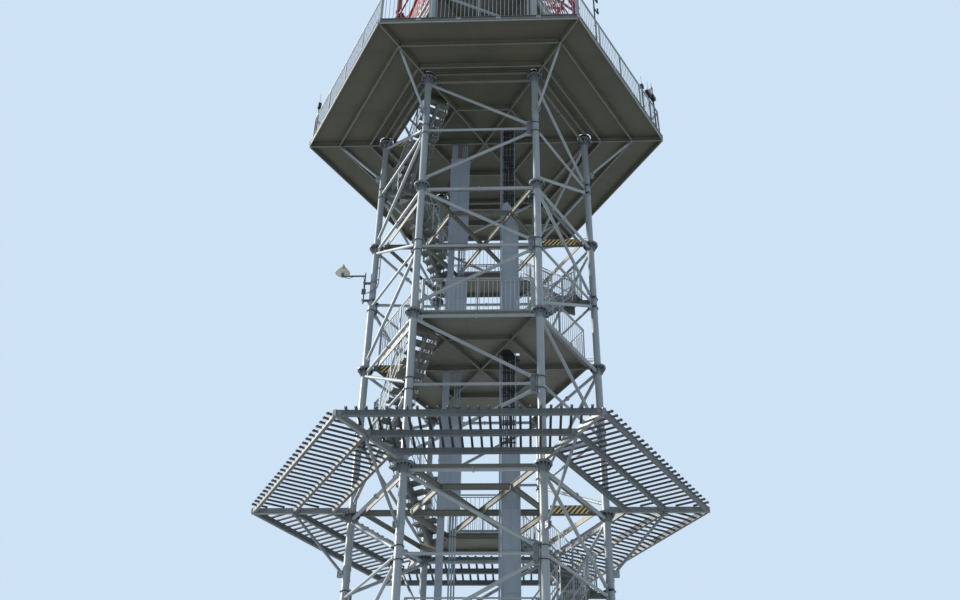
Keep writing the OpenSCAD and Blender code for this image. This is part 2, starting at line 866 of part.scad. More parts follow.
// A mast on the deck just inside the railing, at a share u of the side that starts at an angle
module deck_mast(az, u, h) {
    s = deck_r - 60;
    rotate([0, 0, az]) translate([s, 0, 0]) rotate([0, 0, 120])
        translate([u * s, rail_t / 2 + 25 + joint, 0]) {
            cylinder(d = 50, h = h, $fn = 16);
            children();
        }
}

module deck_instruments() {
    color([0.25, 0.27, 0.30])
    translate([0, 0, deck_z + floor_top]) {
        deck_mast(front_right, 0.22, mast_h) {
            for (z = [1900, 2500]) {
                translate([-25, -20, z]) cube([320, 40, 30]);
                translate([265, -20, z]) cube([30, 40, 240]);
            }
        }
        deck_mast(front_right, 0.955, 2050)
            translate([-120, -80, 1700]) cube([240, 160, 160]);
        deck_mast(front_right, 0.89, 1750)
            translate([-170, -60, 1590]) cube([340, 120, 100]);
        deck_mast(front_right, 0.80, 1500)
            translate([-60, -60, 1380]) cube([120, 120, 180]);
        deck_mast(left, 0.03, 1900)
            translate([-70, -60, 1680]) cube([140, 120, 240]);
    }
}
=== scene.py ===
import bpy
import math
import random
from itertools import product
from mathutils import Matrix, Vector


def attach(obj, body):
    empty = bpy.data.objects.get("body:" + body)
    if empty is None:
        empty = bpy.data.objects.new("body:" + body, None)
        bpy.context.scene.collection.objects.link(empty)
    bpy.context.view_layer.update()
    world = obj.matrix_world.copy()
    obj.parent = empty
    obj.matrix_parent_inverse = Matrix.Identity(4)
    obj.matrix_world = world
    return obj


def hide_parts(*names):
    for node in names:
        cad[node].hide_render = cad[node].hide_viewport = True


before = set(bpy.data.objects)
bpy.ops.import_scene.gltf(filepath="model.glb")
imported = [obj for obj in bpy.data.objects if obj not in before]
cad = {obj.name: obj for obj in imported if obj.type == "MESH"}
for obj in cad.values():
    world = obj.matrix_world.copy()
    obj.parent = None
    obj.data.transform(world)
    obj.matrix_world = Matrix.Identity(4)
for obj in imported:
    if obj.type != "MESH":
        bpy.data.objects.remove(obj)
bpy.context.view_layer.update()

rng = random.Random(7)

# Metres. The front is -Y, and the six legs stand at these angles round the axis.
tower = {
    "storey": 4.9, "storeys": 8, "deckLevel": 6, "legRadius": 3.64, "tube": 0.11,
    "band": 0.122, "bandGap": 0.37,       # clamp bands at mid storey
    "flange": 0.25, "flangeHalf": 0.03,
    "beamDepth": 0.18, "beamWidth": 0.06, "board": 0.04,
    "cornerGap": 0.30,                    # from a leg's axis to the corner of the inner floors
    "innerRadius": 1.96, "deckRadius": 6.516,
}
legAngles = {
    "front_left": -120, "front_right": -60, "right": 0,
    "back_right": 60, "back_left": 120, "left": 180,
}
sideNames = {
    -120: "front", -60: "front_right", 0: "back_right",
    60: "back", 120: "back_left", 180: "front_left",
}
sides = list(sideNames)
storey = tower["storey"]
legRadius = tower["legRadius"]
tube = tower["tube"]
beamTop = tower["beamDepth"] - tower["flangeHalf"]
floorTop = beamTop + tower["board"]
floorRadius = legRadius - tower["cornerGap"]
deckRadius = tower["deckRadius"]
deckZ = storey * tower["deckLevel"]
up = Vector((0, 0, 1))
forward = Vector((0, -1, 0))
level = (Vector((1, 0, 0)), Vector((0, 1, 0)), up)


def around(angle, radius, z=0.0):
    a = math.radians(angle)
    return Vector((radius * math.cos(a), radius * math.sin(a), z))


# A function that places (x, y, z) from an origin along three axes
def placer(origin, axes):
    return lambda x, y, z: origin + axes[0] * x + axes[1] * y + axes[2] * z


# A side of the tower: x along it from one leg to the next, y inward
def sideFrame(angle, radius=legRadius):
    start = around(angle, radius)
    axes = ((around(angle + 60, radius) - start).normalized(), -around(angle + 30, 1), up)
    return placer(start, axes), axes


# A leg, or another place on its spoke: x outward, y aside
def spokeFrame(angle, radius=legRadius):
    outward = around(angle, 1)
    axes = (outward, up.cross(outward), up)
    return placer(around(angle, radius), axes), axes


# A face of the hexagon, seen from the tower's axis: x along it, y outward
def faceFrame(angle):
    normal = around(angle + 30, 1)
    axes = (up.cross(normal), normal, up)
    return placer(Vector(), axes), axes


# Numbers from low in equal steps, all below high
def stepped(low, high, pitch):
    while low < high:
        yield low
        low += pitch


# Directions round a circle in equal steps
def spokes(u, v, count, first=0):
    turns = (math.radians(first + k * 360 / count) for k in range(count))
    return [u * math.cos(t) + v * math.sin(t) for t in turns]


# Mesh making: a pile gathers points, faces and material slots for one piece
def newPile():
    return {"verts": [], "faces": [], "slots": []}


# Rings of points, skinned one to the next and capped at both ends
def addRings(pile, rings, slot=0):
    base = len(pile["verts"])
    n = len(rings[0])
    last = (len(rings) - 1) * n
    faces = [range(n - 1, -1, -1), range(last, last + n)]
    for low in range(0, last, n):
        faces += [(low + k, low + (k + 1) % n, low + n + (k + 1) % n, low + n + k) for k in range(n)]
    pile["verts"].extend(tuple(p) for ring in rings for p in ring)
    pile["faces"].extend(tuple(base + i for i in f) for f in faces)
    pile["slots"].extend([slot] * len(faces))


def acrossAxes(direction):
    direction = direction.normalized()
    helper = up if abs(direction.z) < 0.9 else level[0]
    a = direction.cross(helper).normalized()
    return a, direction.cross(a).normalized()


# A round bar through a list of points
def addTube(pile, points, radius, sides=12, slot=0):
    points = [Vector(p) for p in points]
    rings = []
    for i, p in enumerate(points):
        direction = (points[min(i + 1, len(points) - 1)] - points[max(i - 1, 0)]).normalized()
        if i:
            a = (a - direction * a.dot(direction)).normalized()
            b = direction.cross(a)
        else:
            a, b = acrossAxes(direction)
        rings.append([p + out * radius for out in spokes(a, b, sides)])
    addRings(pile, rings, slot)


# A turned shape: profile of (radius, height) pairs about an axis
def addTurned(pile, base, axis, profile, sides=16, slot=0):
    axis = axis.normalized()
    outs = spokes(*acrossAxes(axis), sides)
    addRings(pile, [[base + axis * h + out * r for out in outs] for r, h in profile], slot)


# Profile of a flat ring that stands out from one radius to another
def ringBand(inner, outer, half):
    return [(inner, -half), (outer, -half), (outer, half), (inner, half)]


# A box by its middle, three axes and half sizes, with chamfered edges where bevel is given
def addBlock(pile, middle, axes, half, slot=0, bevel=0.0):
    hx, hy, hz = half
    outline = [(-hx, -hy), (hx, -hy), (hx, hy), (-hx, hy)]
    layers = [(-hz, 0), (hz, 0)]
    if bevel:
        b = min(bevel, 0.45 * min(half))
        outline = [(hx - b, -hy), (hx, -hy + b), (hx, hy - b), (hx - b, hy),
                   (-hx + b, hy), (-hx, hy - b), (-hx, -hy + b), (-hx + b, -hy)]
        layers = [(-hz, b), (-hz + b, 0), (hz - b, 0), (hz, b)]
    at = placer(middle, axes)
    rings = [[at(x - math.copysign(inset, x), y - math.copysign(inset, y), z) for x, y in outline]
             for z, inset in layers]
    addRings(pile, rings, slot)


# A flat bar from one point to another: width along a given direction, thickness across it
def addFlat(pile, a, b, width, thickness, widthAxis, slot=0, bevel=0.0):
    a, b = Vector(a), Vector(b)
    direction = (b - a).normalized()
    w = (widthAxis - direction * widthAxis.dot(direction)).normalized()
    half = (width / 2, thickness / 2, (b - a).length / 2)
    addBlock(pile, (a + b) / 2, (w, direction.cross(w), direction), half, slot, bevel)


# A flat plate in a side of the tower, from its corners (x, z)
def addSidePlate(pile, at, corners, thick, slot=0):
    addRings(pile, [[at(x, y, z) for x, z in corners] for y in (thick / 2, -thick / 2)], slot)


# Hexagon head or nut on a washer, with the end of a stud where one is given
def addBolt(pile, seat, axis, size, height=None, slot=1, stud=0.0):
    height = height or size * 0.7
    washer = size * 0.14
    addTurned(pile, seat, axis, [(size * 1.05, 0), (size * 1.05, washer)], 10, slot)
    head = [(size * 0.95, washer), (size * 0.95, washer + height * 0.85), (size * 0.72, washer + height)]
    addTurned(pile, seat, axis, head, 6, slot)
    if stud:
        end = height + stud
        shank = [(size * 0.5, height * 0.9), (size * 0.5, end), (size * 0.36, end + size * 0.12)]
        addTurned(pile, seat, axis, shank, 8, slot)


# A bolt at every meeting of the given offsets
def addBolts(pile, at, xs, ys, zs, axis, size, slot=1):
    for spot in product(xs, ys, zs):
        addBolt(pile, at(*spot), axis, size, slot=slot)


def newObject(name, data):
    made = bpy.data.objects.new(name, data)
    bpy.context.scene.collection.objects.link(made)
    return made


def finishPile(pile, name, paintNames, replaces=()):
    mesh = bpy.data.meshes.new(name)
    mesh.from_pydata(pile["verts"], [], pile["faces"])
    mesh.update()
    mesh.polygons.foreach_set("material_index", pile["slots"])
    mesh.polygons.foreach_set("use_smooth", [True] * len(mesh.polygons))
    mesh.set_sharp_from_angle(angle=math.radians(35))
    for paint in paintNames.split():
        mesh.materials.append(mat[paint])
    piece = newObject(name, mesh)
    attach(piece, "root")
    if replaces:
        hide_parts(*replaces)


# Node groups: a tuple or a name with Colour makes a colour socket, anything else a number
def newGroup(name, inputs, outputs):
    group = bpy.data.node_groups.new(name, "ShaderNodeTree")
    kinds = {True: "NodeSocketColor", False: "NodeSocketFloat"}
    for label, value in inputs.items():
        kind = kinds[isinstance(value, tuple)]
        socket = group.interface.new_socket(name=label, in_out="INPUT", socket_type=kind)
        socket.default_value = value
    for label in outputs:
        group.interface.new_socket(name=label, in_out="OUTPUT", socket_type=kinds["Colour" in label])
    return group, group.nodes.new("NodeGroupInput").outputs, group.nodes.new("NodeGroupOutput").inputs


# Links a socket to an input, or writes a plain value on it
def feed(tree, socket, value):
    if isinstance(value, bpy.types.NodeSocket):
        tree.links.new(value, socket)
    else:
        socket.default_value = value


def addNode(tree, kind, inputs=None, **settings):
    node = tree.nodes.new(kind)
    for key, value in settings.items():
        setattr(node, key, value)
    for key, value in (inputs or {}).items():
        feed(tree, node.inputs[key], value)
    return node


def mathNode(tree, operation, *values, clamp=False):
    inputs = dict(enumerate(values))
    return addNode(tree, "ShaderNodeMath", inputs, operation=operation, use_clamp=clamp).outputs[0]


def mixColour(tree, factor, a, b):
    node = addNode(tree, "ShaderNodeMix", data_type="RGBA")
    for index, value in ((0, factor), (6, a), (7, b)):
        feed(tree, node.inputs[index], value)
    return node.outputs[2]


def remap(tree, value, low, high, outLow=0.0, outHigh=1.0):
    inputs = {"Value": value, "From Min": low, "From Max": high, "To Min": outLow, "To Max": outHigh}
    return addNode(tree, "ShaderNodeMapRange", inputs).outputs["Result"]


def objectCoords(tree):
    return addNode(tree, "ShaderNodeTexCoord").outputs["Object"]


def splitCoords(tree):
    return addNode(tree, "ShaderNodeSeparateXYZ", {0: objectCoords(tree)}).outputs


def noiseAt(tree, coords, scale, detail, roughness=0.5):
    inputs = {"Vector": coords, "Scale": scale, "Detail": detail, "Roughness": roughness}
    return addNode(tree, "ShaderNodeTexNoise", inputs).outputs["Fac"]


# Weathered coating: patchy tone, grime, run-down streaks and a fine grain
def makeWeatherGroup():
    group, given, out = newGroup("weatheredCoat", {
        "Colour": (0.5, 0.5, 0.5, 1), "Grime Colour": (0.1, 0.1, 0.09, 1),
        "Patch Scale": 1.5, "Patch Amount": 0.12, "Streak Amount": 0.2,
        "Grime Amount": 0.2, "Roughness": 0.5,
    }, ("Colour", "Roughness", "Height"))
    coords = objectCoords(group)
    stretched = addNode(group, "ShaderNodeMapping", {"Vector": coords, "Scale": (9.0, 9.0, 0.55)})
    patch = noiseAt(group, coords, given["Patch Scale"], 5.0)
    streak = noiseAt(group, stretched.outputs[0], 1.6, 6.0, 0.62)
    fine = noiseAt(group, coords, 34.0, 4.0)
    patchMask = remap(group, patch, 0.32, 0.68, -1.0, 1.0)
    streakMask = remap(group, streak, 0.52, 0.74)
    grimeMask = mathNode(group, "MULTIPLY", remap(group, patch, 0.5, 0.72), remap(group, fine, 0.35, 0.65))
    lighten = mathNode(group, "MULTIPLY_ADD", patchMask, given["Patch Amount"], 1.0)
    values = {0: given["Colour"], "Scale": lighten}
    colour = addNode(group, "ShaderNodeVectorMath", values, operation="SCALE").outputs[0]
    for mask, amount in ((streakMask, "Streak Amount"), (grimeMask, "Grime Amount")):
        share = mathNode(group, "MULTIPLY", mask, given[amount], clamp=True)
        colour = mixColour(group, share, colour, given["Grime Colour"])
    feed(group, out["Colour"], colour)
    rough = mathNode(group, "MULTIPLY_ADD", streakMask, 0.14, given["Roughness"])
    feed(group, out["Roughness"], mathNode(group, "MULTIPLY_ADD", fine, 0.08, rough))
    feed(group, out["Height"], mathNode(group, "MULTIPLY_ADD", fine, 0.4, patch))
    return group


# One colour below a height and another above it
def makeHeightGroup():
    group, given, out = newGroup("colourByHeight", {
        "Below": (0.5, 0.5, 0.5, 1), "Above": (0.5, 0.05, 0.03, 1), "Height": 34.4}, ("Colour",))
    mask = mathNode(group, "GREATER_THAN", splitCoords(group)["Z"], given["Height"])
    feed(group, out["Colour"], mixColour(group, mask, given["Below"], given["Above"]))
    return group


# Painted shade round each joint of the legs, from below the joint to just over it: a darker colour where the
# flange and its ribs shade the leg
def makeJointShadeGroup():
    group, given, out = newGroup("paintedShadeAtJoints", {
        "Colour": (0.5, 0.5, 0.5, 1), "Joint Shade Colour": (0.2, 0.2, 0.2, 1),
        "Pitch": 4.9, "Drop": 0.3, "Share": 0.6}, ("Colour",))
    z = splitCoords(group)["Z"]
    wrapped = mathNode(group, "FLOORED_MODULO", mathNode(group, "ADD", z, given["Drop"]), given["Pitch"])
    span = mathNode(group, "ADD", given["Drop"], 0.033)
    mask = remap(group, wrapped, 0.0, 0.05)
    for share in (mathNode(group, "LESS_THAN", wrapped, span),
                  mathNode(group, "GREATER_THAN", z, 1.0),      # none at the feet
                  given["Share"]):
        mask = mathNode(group, "MULTIPLY", mask, share)
    feed(group, out["Colour"], mixColour(group, mask, given["Colour"], given["Joint Shade Colour"]))
    return group


# Slanted stripes along X and Z
def makeStripeGroup():
    group, given, out = newGroup("slantedStripes", {
        "First": (0.8, 0.5, 0.05, 1), "Second": (0.02, 0.02, 0.02, 1), "Pitch": 0.19, "Lean": 0.9},
        ("Colour",))
    split = splitCoords(group)
    along = mathNode(group, "SUBTRACT", split["X"], mathNode(group, "MULTIPLY", split["Z"], given["Lean"]))
    turn = mathNode(group, "FRACT", mathNode(group, "DIVIDE", along, given["Pitch"]))
    mask = mathNode(group, "GREATER_THAN", turn, 0.5)
    feed(group, out["Colour"], mixColour(group, mask, given["First"], given["Second"]))
    return group


# Board joints on a grid in plan, as a dark line and a tone for each board
def makeSeamGroup():
    group, given, out = newGroup("boardSeams", {
        "Board Length": 2.5, "Board Width": 1.25, "Line Width": 0.012}, ("Mask", "Tone"))
    split = splitCoords(group)
    lines, cells = [], {}
    for i, (axis, size) in enumerate((("X", "Board Length"), ("Y", "Board Width"))):
        share = mathNode(group, "DIVIDE", mathNode(group, "ADD", split[axis], 40.31), given[size])
        cells[i] = mathNode(group, "FLOOR", share)
        reach = mathNode(group, "MULTIPLY", mathNode(group, "PINGPONG", share, 0.5), given[size])
        lines.append(mathNode(group, "LESS_THAN", reach, given["Line Width"]))
    feed(group, out["Mask"], mathNode(group, "MAXIMUM", *lines))
    cell = addNode(group, "ShaderNodeCombineXYZ", cells).outputs[0]
    feed(group, out["Tone"], addNode(group, "ShaderNodeTexWhiteNoise", {"Vector": cell}).outputs["Value"])
    return group


weatherGroup = makeWeatherGroup()
heightGroup = makeHeightGroup()
jointShadeGroup = makeJointShadeGroup()
stripeGroup = makeStripeGroup()
seamGroup = makeSeamGroup()
print("stage: node groups made")


# Materials
def useGroup(tree, group, inputs):
    return addNode(tree, "ShaderNodeGroup", inputs, node_tree=group).outputs


def rgba(colour):
    return (*colour, 1.0)


# Painted, weathered surface; look holds the values a user would change
def makeCoat(name, look):
    material = bpy.data.materials.new(name)
    material.use_nodes = True
    tree = material.node_tree
    shader = tree.nodes["Principled BSDF"]
    base = rgba(look["colour"])
    # a joint colour in the look is painted shade round the leg joints
    if "joint" in look:
        values = {"Colour": base, "Joint Shade Colour": rgba(look["joint"]), "Pitch": storey}
        base = useGroup(tree, jointShadeGroup, values)["Colour"]
    if "above" in look:
        values = {"Below": base, "Above": rgba(look["above"]), "Height": look["aboveHeight"]}
        base = useGroup(tree, heightGroup, values)["Colour"]
    if "stripe" in look:
        values = {"First": base, "Second": rgba(look["stripe"]),
                  "Pitch": look["pitch"], "Lean": look["lean"]}
        base = useGroup(tree, stripeGroup, values)["Colour"]
    coat = useGroup(tree, weatherGroup, {
        "Colour": base, "Grime Colour": rgba(look["grime"]), "Patch Scale": look["scale"],
        "Patch Amount": look["patch"], "Streak Amount": look["streak"],
        "Grime Amount": look["dirt"], "Roughness": look["rough"]})
    colour, height = coat["Colour"], coat["Height"]
    if "boards" in look:
        values = {"Board Length": look["boards"][0], "Board Width": look["boards"][1], "Line Width": 0.008}
        seams = useGroup(tree, seamGroup, values)
        tone = remap(tree, seams["Tone"], 0.0, 1.0, 0.95, 1.05)
        toned = addNode(tree, "ShaderNodeVectorMath", {0: colour, "Scale": tone}, operation="SCALE")
        share = mathNode(tree, "MULTIPLY", seams["Mask"], look["seam"])
        colour = mixColour(tree, share, toned.outputs[0], (0.02, 0.02, 0.018, 1))
        height = mathNode(tree, "SUBTRACT", height, mathNode(tree, "MULTIPLY", seams["Mask"], 1.5))
    values = {"Height": height, "Strength": look.get("bump", 0.12), "Distance": 0.004}
    bump = addNode(tree, "ShaderNodeBump", values).outputs[0]
    for key, value in (("Base Color", colour), ("Roughness", coat["Roughness"]), ("Normal", bump),
                       ("Metallic", look.get("metallic", 0.0))):
        feed(tree, shader.inputs[key], value)
    return material


# Tones in linear light; scale is for the patches, and patch, streak and dirt are amounts
galleryRed = (0.30, 0.016, 0.018)
paints = {
    # legPaint's joint colour is painted shade round the leg joints
    "legPaint": dict(
        colour=(0.36, 0.42, 0.47), joint=(0.15, 0.17, 0.19), above=galleryRed, aboveHeight=34.52,
        grime=(0.12, 0.13, 0.13), scale=0.8, patch=0.08, streak=0.26, dirt=0.22, rough=0.36),
    # dark paint of flanges, clamps and fittings; on the webs of the bracing channels it is painted shade
    "flangePaint": dict(
        colour=(0.20, 0.23, 0.26), above=galleryRed, aboveHeight=34.2,
        grime=(0.07, 0.075, 0.075), scale=1.6, patch=0.14, streak=0.3, dirt=0.35, rough=0.45),
    "bracePaint": dict(
        colour=(0.36, 0.41, 0.45), above=galleryRed, aboveHeight=34.52,
        grime=(0.11, 0.12, 0.12), scale=1.1, patch=0.10, streak=0.2, dirt=0.25, rough=0.40),
    "beamPaint": dict(
        colour=(0.150, 0.155, 0.130), grime=(0.05, 0.052, 0.045),
        scale=1.3, patch=0.12, streak=0.2, dirt=0.3, rough=0.5),
    "floorBoard": dict(
        colour=(0.170, 0.174, 0.152), grime=(0.06, 0.06, 0.05), boards=(2.5, 1.25), seam=0.30,
        scale=1.1, patch=0.16, streak=0.1, dirt=0.3, rough=0.55, bump=0.2),
    "deckBoard": dict(
        colour=(0.082, 0.083, 0.060), grime=(0.03, 0.03, 0.022), boards=(2.5, 1.25), seam=0.18,
        scale=0.9, patch=0.14, streak=0.1, dirt=0.25, rough=0.52, bump=0.15),
    "railPaint": dict(
        colour=(0.35, 0.40, 0.44), grime=(0.10, 0.11, 0.11),
        scale=2.0, patch=0.08, streak=0.15, dirt=0.2, rough=0.42),
    "stairSteel": dict(
        colour=(0.16, 0.175, 0.175), grime=(0.05, 0.05, 0.045),
        scale=2.4, patch=0.16, streak=0.15, dirt=0.35, rough=0.55),
    "slatPaint": dict(
        colour=(0.11, 0.13, 0.145), above=(0.022, 0.026, 0.032), aboveHeight=14.908,
        grime=(0.08, 0.08, 0.075), scale=1.5, patch=0.15, streak=0.1, dirt=0.12, rough=0.5),
    "slatBeamPaint": dict(
        colour=(0.22, 0.25, 0.27), grime=(0.08, 0.085, 0.085),
        scale=1.4, patch=0.12, streak=0.25, dirt=0.25, rough=0.42),
    "ductPaint": dict(
        colour=(0.36, 0.43, 0.52), grime=(0.14, 0.15, 0.17),
        scale=0.5, patch=0.12, streak=0.30, dirt=0.2, rough=0.4),
    "cableSheath": dict(
        colour=(0.016, 0.017, 0.022), grime=(0.08, 0.08, 0.075),
        scale=3.0, patch=0.2, streak=0.05, dirt=0.2, rough=0.6),
    "hazardPaint": dict(
        colour=(0.90, 0.70, 0.30), stripe=(0.012, 0.012, 0.014), pitch=0.14, lean=0.9,
        grime=(0.10, 0.08, 0.05), scale=2.0, patch=0.1, streak=0.2, dirt=0.2, rough=0.5),
    "whitePlastic": dict(
        colour=(0.72, 0.72, 0.69), grime=(0.30, 0.29, 0.25),
        scale=3.0, patch=0.05, streak=0.2, dirt=0.2, rough=0.45),
    "gaugePaint": dict(
        colour=(0.10, 0.115, 0.13), above=(0.62, 0.62, 0.58), aboveHeight=23.42,
        grime=(0.06, 0.06, 0.055), scale=3.0, patch=0.08, streak=0.15, dirt=0.2, rough=0.45),
    "darkMetal": dict(
        colour=(0.03, 0.034, 0.04), grime=(0.08, 0.08, 0.08), metallic=0.3,
        scale=4.0, patch=0.15, streak=0.1, dirt=0.15, rough=0.45),
    "zincBolt": dict(
        colour=(0.16, 0.17, 0.18), grime=(0.07, 0.06, 0.05), metallic=0.6,
        scale=9.0, patch=0.2, streak=0.1, dirt=0.35, rough=0.45),
    "signalRed": dict(
        colour=(0.32, 0.016, 0.018), grime=(0.12, 0.03, 0.03),
        scale=1.5, patch=0.1, streak=0.15, dirt=0.2, rough=0.45),
}
mat = {name: makeCoat(name, look) for name, look in paints.items()}
print("stage: materials made")

# Paint of the CAD pieces, by the longest start of the name that fits
cadCoats = {
    "leg_": "legPaint", "bracing_": "bracePaint", "frame_": "beamPaint", "floor_": "floorBoard",
    "landing_": "floorBoard", "platform_railings": "railPaint", "stair_railings": "railPaint",
    "stair_level": "stairSteel", "shade_": "slatPaint", "shade_arms": "slatBeamPaint",
    "deck_frame": "beamPaint", "deck_struts": "legPaint", "deck_floor": "deckBoard",
    "deck_railing": "railPaint", "cable_duct": "ductPaint", "cable_column": "ductPaint",
    "cable_ladder": "cableSheath", "warning_boards": "hazardPaint",
    "leg_instrument": "gaugePaint", "deck_instruments": "darkMetal",
}
for node, piece in cad.items():
    best = max((key for key in cadCoats if node.startswith(key)), key=len)
    paint = mat[cadCoats[best]]
    if not piece.material_slots:
        piece.data.materials.append(paint)
    for slot in piece.material_slots:
        slot.material = paint
print("stage: frame dressed")

# Camera, light and stage
view = {
    "place": (1.3948, -27.8274, 2.135), "pitch": 35.868, "yaw": -3.02, "roll": 1.079, "lens": 39.268,
}
studio = {
    "sky": (0.62, 0.76, 0.92), "fill": (0.80, 0.90, 1.0), "fillStrength": 0.40,
    "sun": 5.0, "sunColour": (1.0, 0.95, 0.86), "sunAngle": 4.0, "sunFrom": (-0.85, 0.26, 0.44),
    "floor": (0.62, 0.63, 0.63), "floorSize": 90.0,
}


def placeCamera():
    pitch, yaw, roll = (math.radians(view[k]) for k in ("pitch", "yaw", "roll"))
    ahead = Vector((math.sin(yaw) * math.cos(pitch), math.cos(yaw) * math.cos(pitch), math.sin(pitch)))
    side = Vector((math.cos(yaw), -math.sin(yaw), 0))
    top = side.cross(ahead)
    x = side * math.cos(roll) + top * math.sin(roll)
    y = top * math.cos(roll) - side * math.sin(roll)
    lens = bpy.data.cameras.new("camera")
    lens.lens = view["lens"]
    lens.sensor_width = 36
    lens.clip_end = 500
    camera = newObject("camera", lens)
    turn = Matrix((x, y, -ahead)).transposed().to_4x4()
    camera.matrix_world = Matrix.Translation(view["place"]) @ turn
    bpy.context.scene.camera = camera


def makeSky():
    world = bpy.data.worlds.new("paleSky")
    bpy.context.scene.world = world
    world.use_nodes = True
    tree = world.node_tree
    tree.nodes.clear()
    values = {"Color": rgba(studio["fill"]), "Strength": studio["fillStrength"]}
    fill = addNode(tree, "ShaderNodeBackground", values)
    seen = addNode(tree, "ShaderNodeBackground", {"Color": rgba(studio["sky"]), "Strength": 1.0})
    path = addNode(tree, "ShaderNodeLightPath").outputs
    shine = mathNode(tree, "MAXIMUM", path["Is Glossy Ray"], path["Is Transmission Ray"])
    direct = mathNode(tree, "MAXIMUM", path["Is Camera Ray"], shine)
    mix = addNode(tree, "ShaderNodeMixShader", {0: direct, 1: fill.outputs[0], 2: seen.outputs[0]})
    addNode(tree, "ShaderNodeOutputWorld", {"Surface": mix.outputs[0]})


def makeSun():
    lamp = bpy.data.lights.new("sun", "SUN")
    lamp.energy = studio["sun"]
    lamp.angle = math.radians(studio["sunAngle"])
    lamp.color = studio["sunColour"]
    sun = newObject("sun", lamp)
    sun.rotation_euler = Vector(studio["sunFrom"]).to_track_quat("Z", "Y").to_euler()


def makeGround():
    half = studio["floorSize"] / 2
    corners = [(-half, -half, 0), (half, -half, 0), (half, half, 0), (-half, half, 0)]
    mesh = bpy.data.meshes.new("ground")
    mesh.from_pydata(corners, [], [(0, 1, 2, 3)])
    ground = newObject("ground", mesh)
    material = bpy.data.materials.new("paleGround")
    material.use_nodes = True
    tree = material.node_tree
    shader = tree.nodes["Principled BSDF"]
    cloud = remap(tree, noiseAt(tree, objectCoords(tree), 0.6, 4.0), 0.3, 0.7)
    pale = rgba([c * 1.06 for c in studio["floor"]])
    feed(tree, shader.inputs["Base Color"], mixColour(tree, cloud, rgba(studio["floor"]), pale))
    shader.inputs["Roughness"].default_value = 0.8
    mesh.materials.append(material)


placeCamera()
makeSky()
makeSun()
makeGround()
bpy.context.scene.view_settings.view_transform = "Standard"
print("stage: camera and light placed")

# Bracing: round bars, the channels they meet at, small gussets
brace = {
    "size": 0.10, "strut": 0.084, "ring": 0.10, "ringDrop": 0.155, "footUp": 0.30, "gusset": 0.016,
    "apexWidth": 0.28, "apexHeight": 0.305, "apexSlope": 0.243, "lip": 0.055,
    "hookBack": 0.17, "hook": 0.012, "saddleBack": 0.146,
    "collars": ((0.36, 0.36), (0.22, 0.10), (0.22, 0.10), (0.36, 0.10)),     # from the ends of each bar
}


# Ends of the four bars of a storey as (x, z) in the side, with their radius
def braceBars(n):
    z = n * storey
    end = legRadius - brace["apexWidth"]
    near = tube - 0.004
    ring = z + storey - brace["ringDrop"]
    mid = z + storey / 2
    bars = [((near, ring), (legRadius - near, ring), brace["ring"] / 2),
            ((near, mid), (end, mid), brace["strut"] / 2)]
    for z0, z1 in ((z + brace["footUp"], mid - brace["apexSlope"]), (ring - 0.06, mid + brace["apexSlope"])):
        foot = z0 + (z1 - z0) * near / end
        bars.append(((near, foot), (end, z1), brace["size"] / 2))
    return bars


# The upright channel that the bars end on, with dark U bolts, saddles and nuts round the leg
def addApex(pile, at, axes, mid):
    along, inward = axes[:2]
    x0 = legRadius - brace["apexWidth"] - 0.02
    x1 = legRadius - tower["band"] - 0.004
    h = brace["apexHeight"]
    corners = [(x0, mid - h), (x1, mid - h), (x1, mid + h), (x0, mid + h)]
    # the channel's web takes the dark paint: painted shade inside the channel
    addSidePlate(pile, at, corners, brace["gusset"], 3)
    heights = [mid + dz for dz in (-0.245, -0.196, -0.0294, 0.0294, 0.196, 0.245)]
    for s in (-1, 1):
        lip = at(x1 - 0.008, s * (brace["lip"] / 2 + 0.008), mid)
        addBlock(pile, lip, axes, (0.006, brace["lip"] / 2, h), 0, 0.003)
        for z in (mid - h + 0.012, mid + h - 0.012):
            addBlock(pile, at((x0 + x1) / 2, s * 0.028, z), axes, ((x1 - x0) / 2, 0.022, 0.005), 0, 0.002)
        face = s * brace["gusset"] / 2
        addBolts(pile, at, (x0 + 0.055, x0 + 0.095), (face,), heights, inward * s, 0.013)
    r = tower["band"] + 0.011
    for z in (mid - tower["bandGap"] / 2, mid + tower["bandGap"] / 2):
        arc = [(math.sin(math.radians(t)) * r, math.cos(math.radians(t)) * r) for t in range(0, 181, 15)]
        bend = [(-brace["hookBack"], r), *arc, (-brace["hookBack"], -r)]
        addTube(pile, [at(legRadius + x, y, z) for x, y in bend], brace["hook"], 10, 2)
        saddle = at(legRadius - brace["saddleBack"], 0, z)
        addBlock(pile, saddle, axes, (0.006, 0.155, 0.028), 2, 0.003)
        addBolts(pile, at, (legRadius - brace["saddleBack"] - 0.006,), (-r, r), (z,), -along, 0.019)


